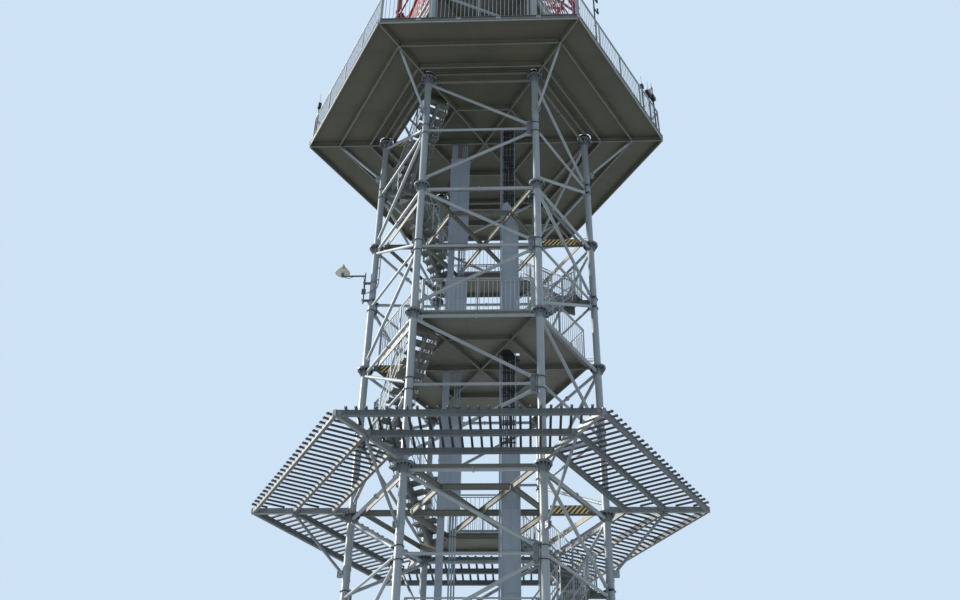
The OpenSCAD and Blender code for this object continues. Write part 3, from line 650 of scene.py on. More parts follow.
# One side: the bars with collars, the flange at the middle of the ring tube, gussets with bolts
def makeBracing(angle):
    pile = newPile()
    at, axes = sideFrame(angle)
    inward = axes[1]
    for n in range(tower["storeys"]):
        for k, (p, q, r) in enumerate(braceBars(n)):
            a, b = at(p[0], 0, p[1]), at(q[0], 0, q[1])
            d = (b - a).normalized()
            # the ring tube under the deck is painted with the deck's beams
            coat = 4 if k == 0 and n + 1 == tower["deckLevel"] else 0
            addTube(pile, [a, b], r, 20, coat)
            collar = [(r + 0.001, -0.012), (r + 0.007, -0.008), (r + 0.007, 0.008), (r + 0.001, 0.012)]
            near, far = brace["collars"][k]
            for end in (a + d * near, b - d * far):
                addTurned(pile, end, d, collar, 20, coat)
            if k:
                # slotted end with its closing plates
                for s in (-1, 1):
                    cap = b - d * 0.03 + inward * s * (r * 0.55)
                    addBlock(pile, cap, (d, inward, d.cross(inward)), (0.028, r * 0.42, r * 0.98), 0, 0.004)
            else:
                middle = (a + b) / 2
                addTurned(pile, middle, d, ringBand(r, r + 0.028, 0.016), 20, coat)
                for out in spokes(*acrossAxes(d), 6):
                    addBolt(pile, middle + d * 0.016 + out * (r + 0.016), d, 0.008)
        z = n * storey
        top = z + storey - brace["ringDrop"]
        addApex(pile, at, axes, z + storey / 2)
        for corners in ([(0.06, z + 0.15), (0.20, z + 0.32), (0.22, z + 0.40), (0.06, z + 0.30)],
                        [(0.06, top - 0.09), (0.22, top - 0.17), (0.33, top), (0.06, top)]):
            addSidePlate(pile, at, corners, brace["gusset"])
        for x, seat in ((0.15, z + 0.27), (0.135, z + 0.24), (0.16, top - 0.07), (0.20, top - 0.08)):
            for s in (-1, 1):
                addBolt(pile, at(x, s * brace["gusset"] / 2, seat), inward * s, 0.010)
    finishPile(pile, "braces_" + sideNames[angle], "bracePaint zincBolt darkMetal flangePaint beamPaint",
               ["bracing_" + sideNames[angle]])


for angle in sides:
    makeBracing(angle)
print("stage: bracing made")

# Legs: flange bolts, darker flange skins with their joint line, weld beads, anchor studs
legBits = {
    "bolts": 12, "boltCircle": 0.203, "bolt": 0.024, "nut": 0.03, "stud": 0.035, "skin": 0.0012,
    "anchors": 6, "anchorCircle": 0.33, "footPlate": 0.045,
}


def makeLegBits(name, angle):
    pile = newPile()
    at, axes = spokeFrame(angle)
    outward, aside = axes[:2]
    half, skin = tower["flangeHalf"], legBits["skin"]
    lower = [(-0.05, -half - skin), (0, -half - skin), (skin, -half), (skin, -0.006), (-0.004, -0.002)]
    rim = [(tower["flange"] + out, h) for out, h in lower + [(out, -h) for out, h in reversed(lower)]]
    for n in range(1, tower["storeys"] + 1):
        joint = at(0, 0, n * storey)
        for out in spokes(outward, aside, legBits["bolts"], 15):
            seat = joint + out * legBits["boltCircle"]
            addBolt(pile, seat + up * half, up, legBits["bolt"])
            addBolt(pile, seat - up * half, -up, legBits["bolt"], legBits["nut"], 2, legBits["stud"])
        addTurned(pile, joint, up, rim, 48, 3)
        for s in (-1, 1):
            bead = [(0.109, s * half), (0.122, s * half), (0.111, s * (half + 0.013))]
            addTurned(pile, joint, up, bead, 40, 3)
    # collar in the deck's hole round the leg
    addTurned(pile, at(0, 0, deckZ + beamTop - 0.004), up, ringBand(0.109, 0.222, 0.004), 40, 2)
    for out in spokes(outward, aside, legBits["anchors"]):
        seat = at(0, 0, legBits["footPlate"]) + out * legBits["anchorCircle"]
        addBolt(pile, seat, up, 0.03, 0.03, stud=0.06)
        addTube(pile, [seat - up * 0.044, seat], 0.0145, 12, 1)
    finishPile(pile, "fittings_" + name, "legPaint zincBolt darkMetal flangePaint")


for name, angle in legAngles.items():
    makeLegBits(name, angle)
print("stage: leg fittings made")

# Railings
rail = {
    "height": 1.27, "post": 0.048, "barPitch": 0.13, "bar": 0.009, "handrail": 0.024,
    "postPitch": 1.5, "kick": 0.08, "inset": 0.06,
}


# Straight railing between two points on a floor: posts, round handrail, rails, kick plate, round bars
def addRailing(pile, a, b, pitch=None, kick=True, height=rail["height"]):
    span = b - a
    along = span.normalized()
    axes = (along, up.cross(along), up)
    half = rail["post"] / 2
    grip = up * (height - rail["handrail"])
    addTube(pile, [a + grip, b + grip], rail["handrail"], 14)
    for z in (0.09, height - 0.10 if pitch else 0.65):
        addFlat(pile, a + up * z, b + up * z, 0.03, 0.012, up, 0, 0.002)
    posts = max(1, round(span.length / rail["postPitch"]))
    for i in range(posts + 1):
        inner = 1 if i < posts else -1
        p = a + span * (i / posts) + along * (inner * half if i in (0, posts) else 0)
        post = (half, half - 0.006, height / 2 - 0.02)
        addBlock(pile, p + up * (height / 2 - 0.015), axes, post, 0, 0.004)
        addBlock(pile, p + up * 0.006, axes, (0.045, 0.014, 0.006), 0, 0.002)
        addBolt(pile, p + up * 0.012 + along * inner * 0.034, up, 0.008)
    if pitch:
        count = max(2, round(span.length / pitch))
        for i in range(1, count):
            p = a + span * (i / count)
            addTube(pile, [p + up * 0.09, p + up * (height - 0.10)], rail["bar"], 6)
    if kick:
        lower = up * 0.06 + axes[1] * 0.004
        addFlat(pile, a + lower, b + lower, rail["kick"], 0.004, up)


# Railing inside one edge of a floor with corner radius r, from one share of the edge to another
def sideRail(pile, angle, r, z, pitch=rail["barPitch"], kick=True, share=(0, 1)):
    s = r - rail["inset"]
    at = sideFrame(angle, s)[0]
    addRailing(pile, at(share[0] * s + 0.02, 0.015, z), at(share[1] * s - 0.02, 0.015, z), pitch, kick)


def makeRailings():
    pile = newPile()
    for n in (2, 4, 7):
        for angle in sides:
            sideRail(pile, angle, floorRadius, n * storey + floorTop, None if n == 7 else rail["barPitch"])
    for n in (1, 3, 5):
        for r in (floorRadius, tower["innerRadius"] + 0.12):
            sideRail(pile, 60, r, n * storey + floorTop)
    sideRail(pile, 180, legRadius + 0.04, deckZ + floorTop, kick=False, share=(0.07, 0.93))
    finishPile(pile, "railings_platforms", "railPaint zincBolt", ["platform_railings"])
    pile = newPile()
    for angle in sides:
        sideRail(pile, angle, deckRadius, deckZ + floorTop)
    finishPile(pile, "railing_deck", "railPaint zincBolt", ["deck_railing"])


makeRailings()
print("stage: railings made")

# Stair
stair = {
    "steps": 11, "going": 0.226, "width": 0.82, "gap": 0.3238, "tread": 0.07, "nosing": 0.02,
    "railHeight": 1.10, "grip": 0.021, "baluster": 0.008, "barPitch": 0.113, "postEvery": 3,
}
steps, going, gap = stair["steps"], stair["going"], stair["gap"]
run = (steps - 1) * going
rise = storey / 2 / steps
flightX = (legRadius - run) / 2
flightMiddle = gap + stair["width"] / 2


# Handrail, lower rails, posts and round bars on both sides of a flight
def addFlightRails(pile, angle, base, footDrop):
    at, axes = sideFrame(angle)
    slope = rise / going
    length = run - 0.045
    height = stair["railHeight"]
    for y in (gap - 0.015, gap + stair["width"] + 0.015):
        low, high = at(flightX, y, base), at(flightX + length, y, base + length * slope)
        grip = up * (height - 0.038)
        addTube(pile, [low + grip, high + grip], stair["grip"])
        for z in (0.16, 0.535):
            addFlat(pile, low + up * z, high + up * z, 0.03, 0.012, up)
        for i in range(0, steps - 1, stair["postEvery"]):
            drop = 0.06 if i else footDrop
            half = (height - 0.04 + drop) / 2
            post = at(flightX + i * going + 0.016, y, base + i * rise + half - drop)
            addBlock(pile, post, axes, (0.018, 0.0148, half), 0, 0.003)
        for i in range(int(length / stair["barPitch"])):
            x = 0.06 + i * stair["barPitch"]
            foot = at(flightX + x, y, base + x * slope)
            addTube(pile, [foot + up * 0.16, foot + up * (height - 0.05)], stair["baluster"], 6)


# Nosing, slip bars, end plates and cleats on the spine for every tread of a flight
def addTreadDetails(pile, angle, base):
    at, axes = sideFrame(angle)
    depth = going + stair["nosing"]
    half, thick = stair["width"] / 2, stair["tread"]
    for i in range(1, steps):
        x = flightX + (i - 1) * going - stair["nosing"]
        z = base + i * rise
        nose = at(x + 0.006, flightMiddle, z + 0.002)
        addBlock(pile, nose, axes, (0.012, half - 0.004, 0.003), 1, 0.0015)
        for dx in (0.06, 0.12, 0.18):
            addBlock(pile, at(x + dx, flightMiddle, z + 0.0008), axes, (0.008, half - 0.03, 0.0015))
        for s in (-1, 1):
            end = at(x + depth / 2, flightMiddle + s * (half - 0.003), z - thick / 2)
            addBlock(pile, end, axes, (depth / 2 - 0.004, 0.0036, thick / 2 + 0.004), 0, 0.002)
            cleat = at(x + 0.15, flightMiddle + s * 0.09, z - thick - 0.006)
            addBlock(pile, cleat, axes, (0.05, 0.04, 0.006), 0, 0.002)
            addBolt(pile, cleat - up * 0.006 + axes[1] * s * 0.02, -up, 0.009, slot=2)


def makeStairDetails():
    rails, treads = newPile(), newPile()
    for n in range(tower["deckLevel"]):
        base = n * storey + floorTop
        landing = base + storey / 2
        # the first flight goes up to the corner landing, the second on from it
        for k, landingX in ((0, flightX + run + 0.02), (1, flightX - 0.53)):
            angle = (120 if n % 2 else -60) + 60 * k
            foot = base + k * storey / 2
            addFlightRails(rails, angle, foot, 0.0 if n + k else floorTop)
            addTreadDetails(treads, angle, foot)
            at = sideFrame(angle)[0]
            ends = [at(x, gap + 0.015, landing) for x in (landingX, landingX + 0.51)]
            addRailing(rails, *ends, rail["barPitch"], False, stair["railHeight"])
    finishPile(rails, "railings_stair", "railPaint zincBolt", ["stair_railings"])
    finishPile(treads, "tread_details", "stairSteel railPaint zincBolt")


makeStairDetails()
print("stage: stair details made")

# Main cables and the sheet duct
cables = {
    "x": 0.70, "y": -0.59, "size": 0.024, "count": 6, "pitch": 0.06, "low": 15.89, "clamp": 0.6,
    "ladderStep": 0.3,
}
duct = {
    "low": (0.69, -1.08), "high": (1.19, -0.63), "spans": ((0.0, 16.29), (19.79, 24.9)), "joint": 1.2,
    "sheet": ((0.54, -0.42), (0.56, -0.67), (0.72, -0.90), (0.90, -0.90), (1.24, -0.25), (1.09, -0.12)),
}


# Slightly wavy sheaths, cleats every so often, a ladder behind
def makeMainCables():
    pile = newPile()
    x0, y, low, pitch, count = (cables[k] for k in ("x", "y", "low", "pitch", "count"))
    top = deckZ + beamTop - 0.001
    turns = 90
    for i in range(count):
        x = x0 + (i + 0.5) * pitch
        phase = rng.uniform(0, 6.28)
        heights = [low + (top - low) * s / turns for s in range(turns + 1)]
        points = [(x + 0.006 * math.sin(z * 1.9 + phase), y + 0.005 * math.sin(z * 2.7 + phase * 2), z)
                  for z in heights]
        addTube(pile, points, cables["size"] * (0.86 + 0.07 * (i % 3)), 10)
    for z in stepped(low + 0.2, top - 0.1, cables["clamp"]):
        addBlock(pile, Vector((x0 + 0.18, y - 0.026, z)), level, (0.20, 0.006, 0.022), 1, 0.003)
        for i in range(count + 1):
            x = x0 + i * pitch
            addBlock(pile, Vector((x, y - 0.004, z)), level, (0.006, 0.028, 0.022), 1, 0.002)
            addBolt(pile, Vector((x, y - 0.032, z)), forward, 0.008, slot=2)
    for x in (x0 - 0.025, x0 + 0.385):
        addFlat(pile, (x, y + 0.049, low), (x, y + 0.049, top), 0.05, 0.03, level[1], 3, 0.004)
    for z in stepped(low + 0.06, top - 0.05, cables["ladderStep"]):
        addFlat(pile, (x0 - 0.01, y + 0.04, z), (x0 + 0.37, y + 0.04, z), 0.03, 0.03, up, 3, 0.003)
    finishPile(pile, "cables_main", "cableSheath darkMetal zincBolt ductPaint",
               ["cable_ladder"])


# Flanged joints with screws, corner angles, and at the fourth floor a near-black sheet round the duct,
# painted shade in the floor's hole
def makeDuctDetails():
    pile = newPile()
    (x0, y0), (x1, y1) = duct["low"], duct["high"]
    midX, midY, halfX, halfY = (x0 + x1) / 2, (y0 + y1) / 2, (x1 - x0) / 2, (y1 - y0) / 2
    walls = ((midX, y0, halfX + 0.012, 0.012), (midX, y1, halfX + 0.012, 0.012),
             (x0, midY, 0.012, halfY + 0.012), (x1, midY, 0.012, halfY + 0.012))
    for z0, z1 in duct["spans"]:
        for z in stepped(z0 + duct["joint"], z1 - 0.2, duct["joint"]):
            for x, y, hx, hy in walls:
                addBlock(pile, Vector((x, y, z)), level, (hx, hy, 0.02), 0, 0.003)
            for i in range(5):
                addBolt(pile, Vector((x0 + 0.05 + i * 0.1, y0 - 0.012, z)), forward, 0.008)
        for x, y in product((x0, x1), (y0, y1)):
            addFlat(pile, (x, y, z0 + 0.01), (x, y, z1), 0.04, 0.04, level[0], 0, 0.006)
    z = 4 * storey + beamTop - 0.006
    # the near-black sheet is painted shade of the hole round the duct
    addRings(pile, [[(x, y, z + dz) for x, y in duct["sheet"]] for dz in (-0.003, 0.003)], 2)
    finishPile(pile, "duct_details", "ductPaint zincBolt darkMetal")


makeMainCables()
makeDuctDetails()

# Second cable way: rims, ribs and screws on the covers, cleats round the open cables
covers = {
    "x": -1.22, "y": 0.045, "width": 0.67, "depth": 0.34,
    "spans": ((5.07, 8.28), (14.87, 18.08), (19.80, 23.27), (24.67, 28.70)),
    "open": ((0.3, 4.9), (8.5, 14.7), (18.3, 19.6), (23.4, 24.5), (28.8, 29.4)),
    "ribPitch": 0.8, "cleatPitch": 0.7,
}


def makeCoverDetails():
    pile = newPile()
    x0, y0, w, d = (covers[k] for k in ("x", "y", "width", "depth"))
    middle = x0 + w / 2
    for z0, z1 in covers["spans"]:
        count = round((z1 - z0) / covers["ribPitch"])
        for i in range(count + 1):
            z = min(max(z0 + (z1 - z0) * i / count, z0 + 0.02), z1 - 0.02)
            at = placer(Vector((middle, y0 + d / 2, z)), level)
            for s in (-1, 1):
                front, flank = at(0, s * (d / 2 + 0.003), 0), at(s * (w / 2 + 0.003), 0, 0)
                addBlock(pile, front, level, (w / 2 + 0.012, 0.008, 0.018), 0, 0.003)
                addBlock(pile, flank, level, (0.008, d / 2 + 0.004, 0.018), 0, 0.003)
            for k in range(4):
                addBolt(pile, Vector((x0 + 0.08 + k * (w - 0.16) / 3, y0 - 0.005, z)), forward, 0.007)
        ends = [(middle, y0 - 0.002, z) for z in (z0 + 0.03, z1 - 0.03)]
        addFlat(pile, *ends, 0.03, 0.008, level[0], 0, 0.002)
    for z0, z1 in covers["open"]:
        for z in stepped(z0, z1, covers["cleatPitch"]):
            addBlock(pile, Vector((x0 + 0.485, y0 + 0.088, z)), level, (0.14, 0.008, 0.018), 1, 0.002)
            for i in range(4):
                addBolt(pile, Vector((x0 + 0.37 + i * 0.075, y0 + 0.08, z)), forward, 0.007)
    finishPile(pile, "cover_details", "ductPaint zincBolt")


makeCoverDetails()
print("stage: cable ways made")

# Sunshade
shade = {
    "z": 14.7, "beamLow": 0.045, "beamDepth": 0.165, "radius": 6.55, "pitch": 0.25, "slat": 0.062,
    "thick": 0.028, "over": 0.13, "rows": (1.0, 0.82, 0.65),
}
arms = {
    # height of the foot, head as (out from the leg, height), radius
    "struts": ((shade["z"] - 1.89, (1.733, shade["z"] + 0.11), 0.042),
               (deckZ - 1.82, (1.747, deckZ - 0.03), 0.046)),
    "bands": (-0.06, 0.26), "band": 0.122,
}


# Clips, bolts and end caps of the slats, end plates of the beams
def makeShadeDetails(angle):
    pile = newPile()
    at, axes = faceFrame(angle)
    along, normal = axes[:2]
    tilt = math.tan(math.radians(30))
    outer = shade["radius"] * math.cos(math.radians(30))
    top = shade["z"] + shade["beamLow"] + shade["beamDepth"]
    roof = top + shade["thick"]
    half = shade["slat"] / 2
    count = int((outer * tilt - 0.06) / shade["pitch"])
    for k in range(-count, count + 1):
        x = k * shade["pitch"]
        start = max(outer * shade["rows"][-1] - 0.09, abs(x) / tilt + 0.13)
        for row in shade["rows"]:
            out = outer * row - 0.035
            if out < start + 0.02:
                continue
            for s in (-1, 1):
                clip = at(x + s * (half + 0.012), out, top - 0.02)
                addBlock(pile, clip, axes, (0.012, 0.026, 0.003), 1, 0.001)
                upright = at(x + s * (half + 0.004), out, top - 0.003)
                addBlock(pile, upright, axes, (0.003, 0.026, 0.02), 1, 0.001)
            addBolt(pile, at(x, out, roof), up, 0.009, slot=2)
        # folded cap on the outer end and a stiffening lip along both edges of the slat
        cap = at(x, outer + shade["over"] - 0.05, top + shade["thick"] / 2 + 0.004)
        addBlock(pile, cap, axes, (half + 0.003, 0.03, shade["thick"] / 2 + 0.012), 0, 0.003)
        for s in (-1, 1):
            ends = [at(x + s * (half - 0.002), y, roof + 0.004)
                    for y in (start + 0.01, outer + shade["over"] - 0.09)]
            addFlat(pile, *ends, 0.004, 0.010, along)
    for row in shade["rows"]:
        y = outer * row - 0.035
        reach = outer * row * tilt - 0.062
        for x in (0.05 - reach, reach - 0.05):
            plate = placer(at(x, y + 0.040, top - 0.08), axes)
            addBlock(pile, plate(0, 0, 0), axes, (0.05, 0.005, 0.06), 1, 0.002)
            addBolts(pile, plate, (-0.025, 0.025), (0.005,), (-0.035, 0.035), normal, 0.009, 2)
        # flanges that make the beam a channel
        for z in (top - 0.004, top - shade["beamDepth"] + 0.004):
            addFlat(pile, at(-reach, y, z), at(reach, y, z), 0.086, 0.007, normal, 1)
    finishPile(pile, "shade_details_" + sideNames[angle], "slatPaint slatBeamPaint zincBolt")


# Plates, pins and clamp bands of the sunshade's struts and the deck's at the legs
def makeArmDetails():
    pile = newPile()
    for angle in sides:
        at, axes = spokeFrame(angle)
        outward, aside = axes[:2]
        for foot, head, r in arms["struts"]:
            a, b = at(0, 0, foot), at(head[0], 0, head[1])
            d = (b - a).normalized()
            base = a + d * ((tube + 0.05) / d.dot(outward))
            collar = [(r + 0.001, -0.03), (r + 0.012, -0.02), (r + 0.012, 0.02), (r + 0.001, 0.03)]
            addTurned(pile, base, d, collar, 20)
            for s in (-1, 1):
                plate = placer(at(tube + 0.08, s * (r + 0.006), foot + 0.13), axes)
                addBlock(pile, plate(0, 0, 0), axes, (0.075, 0.005, 0.095), 0, 0.003)
                for x, z in ((0.035, 0.045), (-0.03, -0.03)):
                    addBolt(pile, plate(x, s * 0.005, z), aside * s, 0.017)
            for z in arms["bands"]:
                addTurned(pile, at(0, 0, foot + z), up, ringBand(tube + 0.001, arms["band"], 0.035), 36)
            addBlock(pile, b - d * 0.16 + up * 0.02, axes, (0.11, 0.006, 0.07), 0, 0.003)
        # bolted end plate where the sunshade's arm meets the leg
        arm = placer(at(tube + 0.03, 0, shade["z"] + 0.13), axes)
        addBlock(pile, arm(0, 0, 0), axes, (0.012, 0.075, 0.095), 0, 0.003)
        addBolts(pile, arm, (0.012,), (-0.06, 0.06), (-0.07, 0.07), outward, 0.012)
    finishPile(pile, "arm_details", "legPaint zincBolt")


for angle in sides:
    makeShadeDetails(angle)
makeArmDetails()
print("stage: sunshade details made")

# Floors and deck: cleats with bolts where beams meet each other and the legs
floors = {
    "deckRings": (0.654, 0.827), "whole": (2, 4), "edgeBolts": 8, "bolt": 0.010,
    "cleat": (0.045, 0.005, 0.062),
}


# Cleats on both faces of a beam
def addBeamCleats(pile, middle, along, across):
    for s in (-1, 1):
        place = middle + across * s * (tower["beamWidth"] / 2 + 0.004)
        addBlock(pile, place, (along, across, up), floors["cleat"], 0, 0.002)
        at = placer(place + across * s * 0.005, (along, across, up))
        addBolts(pile, at, (-0.022, 0.022), (0,), (-0.035, 0.035), across * s, floors["bolt"])


def makeBeamDetails():
    pile = newPile()
    for n, angle in product(range(1, tower["storeys"]), sides):
        z = n * storey + beamTop - tower["beamDepth"] / 2
        at, axes = spokeFrame(angle)
        outward, aside = axes[:2]
        radii = [tower["innerRadius"]]
        addBeamCleats(pile, at(-tower["flange"] - 0.06, 0, z), outward, aside)
        if n == tower["deckLevel"]:
            radii += [deckRadius * share for share in floors["deckRings"]]
            out = tower["flange"] + 0.012
            addBlock(pile, at(out, 0, z), axes, (0.010, 0.075, 0.085), 0, 0.003)
            heights = (z - 0.055, z, z + 0.055)
            addBolts(pile, at, (out + 0.010,), (-0.055, 0.055), heights, outward, 0.012)
        for r in radii:
            joint = around(angle, r, z)
            for turn in (120, -120):
                d = around(angle + turn, 1)
                addBeamCleats(pile, joint + d * 0.12, d, up.cross(d))
            # stiffeners in the radial beam's web beside each joint
            for s in (-1, 1):
                rib = joint + aside * s * (tower["beamWidth"] / 2 - 0.004)
                addBlock(pile, rib, axes, (0.004, 0.010, 0.075))
        # bolt row along the edge plates of the whole floors
        if n in floors["whole"]:
            at, axes = sideFrame(angle, floorRadius)
            for i in range(floors["edgeBolts"]):
                x = 0.25 + i * (floorRadius - 0.5) / (floors["edgeBolts"] - 1)
                addBolt(pile, at(x, 0, n * storey + beamTop - 0.04), -axes[1], floors["bolt"])
    finishPile(pile, "beam_details", "beamPaint zincBolt")


# Trim of the deck's edge: drip angle, cover strip, joint plates
def makeDeckTrim():
    pile = newPile()
    middle = deckZ + (beamTop + floorTop) / 2 - 0.05
    for angle in sides:
        at, axes = sideFrame(angle, deckRadius)
        for z, w, t, slot in ((deckZ + floorTop - 0.01, 0.05, 0.012, 1), (deckZ - 0.015, 0.04, 0.014, 0)):
            ends = [at(x, 0.004 - t / 2, z) for x in (0.02, deckRadius - 0.02)]
            addFlat(pile, *ends, w, t, up, slot, 0.003)
        for i in range(1, 5):
            plate = placer(at(deckRadius * i / 5, -0.004, middle), axes)
            addBlock(pile, plate(0, 0, 0), axes, (0.08, 0.005, 0.055), 0, 0.002)
            addBolts(pile, plate, (-0.05, -0.02, 0.02, 0.05), (-0.005,), (-0.03, 0.03), -axes[1], 0.007, 2)
        at, axes = spokeFrame(angle, deckRadius - 0.012)
        addBlock(pile, at(0, 0, middle), axes, (0.008, 0.06, 0.08), 0, 0.003)
    finishPile(pile, "deck_trim", "railPaint darkMetal zincBolt")


makeBeamDetails()
makeDeckTrim()
print("stage: floor and deck details made")

# Lattice screens of the level above the deck
gallery = {
    "low": 34.54, "high": 36.5, "bar": 0.12, "thick": 0.012, "pitch": 0.40, "frame": 0.07, "inset": 0.16,
    "whiteAndSheenBar": 0.08, "whiteAndSheenStep": 4,
}


# Diamond lattice between two legs; every few bars one way is a narrower pale one, partly white paint and
# partly a painted sunlit highlight on the red lattice
def makeGalleryScreens():
    pile = newPile()
    radius = floorRadius + 0.02
    low, high = gallery["low"], gallery["high"]
    height = high - low
    begin, end = gallery["inset"], radius - gallery["inset"]
    for angle in sides:
        at, axes = sideFrame(angle, radius)
        for s in (-1, 1):
            for i, x in enumerate(stepped(begin - height, end, gallery["pitch"])):
                # the bar runs from x to x + height, cut to the panel
                x0, x1 = max(x, begin), min(x + height, end)
                if x1 - x0 > 0.08:
                    # the pale bars are partly white paint and partly painted highlight
                    pale = int(s > 0 and i % gallery["whiteAndSheenStep"] == 2)
                    ends = [at(p, s * 0.006, low + (p - x if s > 0 else height - p + x)) for p in (x0, x1)]
                    wide = gallery["whiteAndSheenBar" if pale else "bar"]
                    addFlat(pile, *ends, wide, gallery["thick"], up, pale, 0.002)
        for z in (low + 0.02, high - 0.02):
            addFlat(pile, at(begin, 0, z), at(end, 0, z), gallery["frame"], 0.04, up, 1, 0.004)
        for x in (begin, (begin + end) / 2, end):
            addFlat(pile, at(x, 0, low), at(x, 0, high), gallery["frame"], 0.04, axes[0], 1, 0.004)
    finishPile(pile, "gallery_screens", "signalRed whitePlastic")


makeGalleryScreens()
print("stage: gallery screens made")


# Points of a smooth curve through the given ones
def smoothLine(points, steps=8):
    line = []
    last = len(points) - 1
    for i in range(last):
        p0, p1, p2, p3 = (Vector(points[min(max(j, 0), last)]) for j in (i - 1, i, i + 1, i + 2))
        for s in range(steps):
            t = s / steps
            square = (2 * p0 - 5 * p1 + 4 * p2 - p3) * t * t
            line.append(0.5 * (2 * p1 + (p2 - p0) * t + square + (3 * p1 - p0 - 3 * p2 + p3) * t ** 3))
    return line + [Vector(points[-1])]


# Cone gauge, with its cable and the conduit up the leg as points
gauge = {
    "pole": (-3.94, 0, 22.19), "cone": (-4.72, 0, 23.3506), "arms": (0.12, 0.83),
    "rims": ((0.249, 0.110, 1), (0.205, 0.16, 0), (0.10, 0.31, 0)),
    "fromDisc": ((0.02, -0.02, 0.0), (0.10, -0.05, -0.10), (0.24, -0.04, -0.14), (0.38, -0.03, -0.07),
                 (0.66, -0.03, -0.05)),
    "downPole": ((-0.035, -0.03, 1.0), (-0.02, -0.05, 0.75), (0, -0.06, 0.52)),
    "fromBox": ((0.05, -0.06, 0.40), (0.14, -0.08, 0.38)),
    "upLeg": ((-3.60, -0.145, 22.65), (-3.47, -0.10, 22.9), (-3.46, -0.09, 24.1), (-3.40, -0.09, 24.3)),
    "cable": 0.009, "conduit": 0.016, "clips": (23.1, 23.6, 24.05),
}


# Rims and a thin spire on the cone, arm plates, a junction box, the cable and the conduit
def makeGaugeDetails():
    pile = newPile()
    pole, disc = placer(Vector(gauge["pole"]), level), placer(Vector(gauge["cone"]), level)
    for r, h, slot in gauge["rims"]:
        rim = [(r - 0.012, 0), (r, 0.006), (r, 0.014), (r - 0.012, 0.02)]
        addTurned(pile, disc(0, 0, h), up, rim, 36, slot)
    addTurned(pile, disc(0, 0, 0), up, [(0.066, 0.37), (0.004, 0.52)], 24)
    addTurned(pile, disc(0, 0, 0), up, [(0.03, 0.02), (0.05, 0.03), (0.05, 0.09), (0.03, 0.1)], 24, 1)
    for z in gauge["arms"]:
        for s in (-1, 1):
            addBlock(pile, pole(0, s * 0.045, z), level, (0.05, 0.005, 0.026), 1, 0.002)
            addBolts(pile, pole, (-0.038, 0.038), (s * 0.05,), (z,), -forward * s, 0.009, 2)
        leg = Vector((-legRadius, 0, gauge["pole"][2] + z))
        addTurned(pile, leg, up, ringBand(0.111, 0.119, 0.03), 36, 1)
    addTurned(pile, pole(0, 0, 1.26), up, [(0.028, 0), (0.028, 0.015), (0.012, 0.03)], 20)
    addBlock(pile, pole(0, -0.06, 0.45), level, (0.07, 0.035, 0.10), 0, 0.008)
    cable = [disc(*p) for p in gauge["fromDisc"]] + [pole(*p) for p in gauge["downPole"]]
    addTube(pile, smoothLine(cable), gauge["cable"], 10, 3)
    conduit = [pole(*p) for p in gauge["fromBox"]] + list(gauge["upLeg"])
    addTube(pile, smoothLine(conduit), gauge["conduit"], 10, 1)
    for z in gauge["clips"]:
        addBlock(pile, Vector((-3.485, -0.085, z)), level, (0.04, 0.02, 0.012), 1, 0.003)
    finishPile(pile, "gauge_details", "gaugePaint flangePaint zincBolt cableSheath")


makeGaugeDetails()

# Edges and screws of the warning boards: low on the floors' plates, or standing on the landings
warnings = {
    "width": 1.10, "height": 0.25, "front": -0.0426, "near": 2.05, "onLanding": 0.01, "onPlate": -0.10,
}


def makeWarningDetails():
    pile = newPile()
    halfWidth, half = warnings["width"] / 2, warnings["height"] / 2
    for n in range(1, tower["deckLevel"] + 1):
        x = warnings["near"] + halfWidth
        z = n * storey + half + warnings["onLanding" if n % 2 else "onPlate"]
        at = placer(Vector((x if n % 2 else -x, warnings["front"], z)), level)
        addBolts(pile, at, (-0.49, 0, 0.49), (0,), (0.035 - half, half - 0.035), forward, 0.008)
        for z in (-half, half):
            addBlock(pile, at(0, 0.003, z), level, (halfWidth, 0.006, 0.005), 0, 0.002)
    finishPile(pile, "warning_details", "railPaint zincBolt")


makeWarningDetails()

# Masts on the deck's railing as side, share along it and height, and the frame by the right corner
instruments = {
    "masts": ((-60, 0.22, 3.4), (-60, 0.955, 2.05), (-60, 0.89, 1.75), (-60, 0.80, 1.5), (180, 0.03, 1.9)),
    "clamps": (0.45, 1.0), "tall": 3, "arms": (1.9, 2.5), "whip": 0.55, "whipRadius": 0.006,
    "hook": ((0.28, 0.03), (0.33, 0.05), (0.34, 0.15), (0.29, 0.25)), "hookRadius": 0.014,
    "frame": (0.985, 1.0), "frameHeight": 2.6, "frameRadius": 0.016,
    "rungs": 9, "rungLow": 1.35, "rungPitch": 0.14, "rungRadius": 0.009,
}


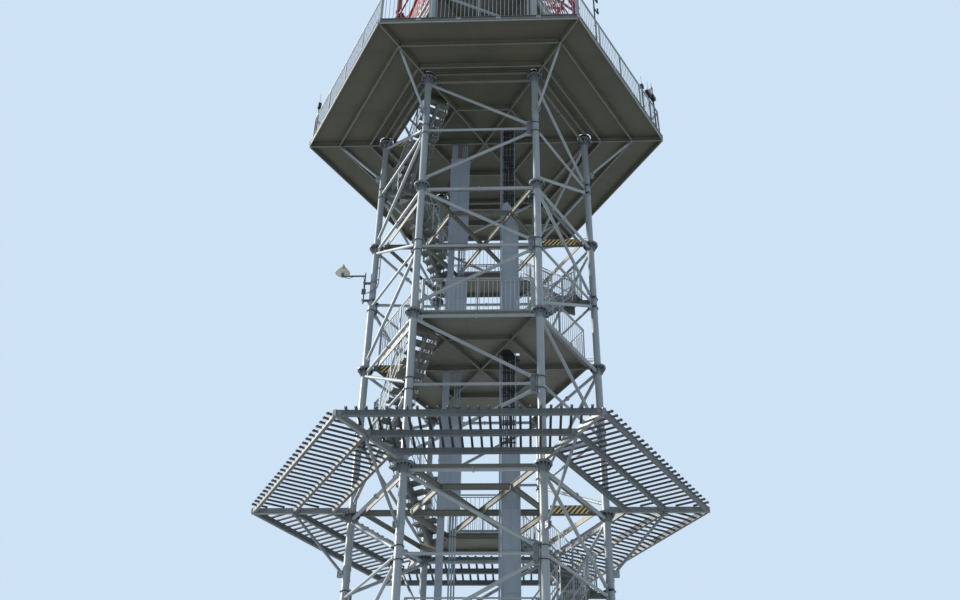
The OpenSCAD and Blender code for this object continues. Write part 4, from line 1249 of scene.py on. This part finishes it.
# Feet, clamps, whips and hooks of the masts, then the frame with rungs and a small pale housing
def makeDeckInstrumentDetails():
    pile = newPile()
    s = deckRadius - rail["inset"]
    floor = deckZ + floorTop
    for angle, share, h in instruments["masts"]:
        at, axes = sideFrame(angle, s)
        along, inward = axes[:2]
        mast = placer(at(share * s, 0.0406, floor), axes)
        addTurned(pile, mast(0, 0, 0), up, [(0.06, 0), (0.06, 0.012), (0.03, 0.014), (0.03, 0.04)], 20, 1)
        for out in spokes(along, inward, 4, 45):
            addBolt(pile, mast(0, 0, 0.012) + out * 0.045, up, 0.007, slot=2)
        for z in instruments["clamps"]:
            addBlock(pile, mast(0, 0, z), axes, (0.036, 0.036, 0.02), 1, 0.004)
        addTurned(pile, mast(0, 0, h), up, [(0.025, 0), (0.027, 0.004), (0.027, 0.012), (0.01, 0.02)], 16, 1)
        if h > instruments["tall"]:
            # insulators and hooks of the tall mast's two arms
            for z in instruments["arms"]:
                hook = smoothLine([mast(x, 0, z + dz) for x, dz in instruments["hook"]])
                addTube(pile, hook, instruments["hookRadius"], 8)
                knob = [(0.02, 0), (0.034, 0.006), (0.034, 0.02), (0.02, 0.03)]
                addTurned(pile, mast(0.28, 0, z + 0.245), up, knob)
        else:
            ends = [mast(0, 0, h - 0.05), mast(0, 0, h + instruments["whip"])]
            addTube(pile, ends, instruments["whipRadius"], 8)
            for q in (-1, 1):
                addBolt(pile, mast(0, q * 0.085, h - 0.2), inward * q, 0.012, slot=2)
    at, axes = sideFrame(-60, s)
    x0, x1 = (share * s - 0.05 for share in instruments["frame"])
    for x in (x0, x1):
        ends = [at(x, 0.10, floor + z) for z in (0.02, instruments["frameHeight"])]
        addTube(pile, ends, instruments["frameRadius"], 10, 1)
    for i in range(instruments["rungs"]):
        z = floor + instruments["rungLow"] + i * instruments["rungPitch"]
        addTube(pile, [at(x0, 0.10, z), at(x1, 0.10, z)], instruments["rungRadius"], 8, 1)
    addBlock(pile, at(0.93 * s, 0.05, floor + 1.95), axes, (0.09, 0.07, 0.10), 3, 0.01)
    finishPile(pile, "deck_instrument_details", "darkMetal railPaint zincBolt whitePlastic")


makeDeckInstrumentDetails()
print("stage: instruments made")
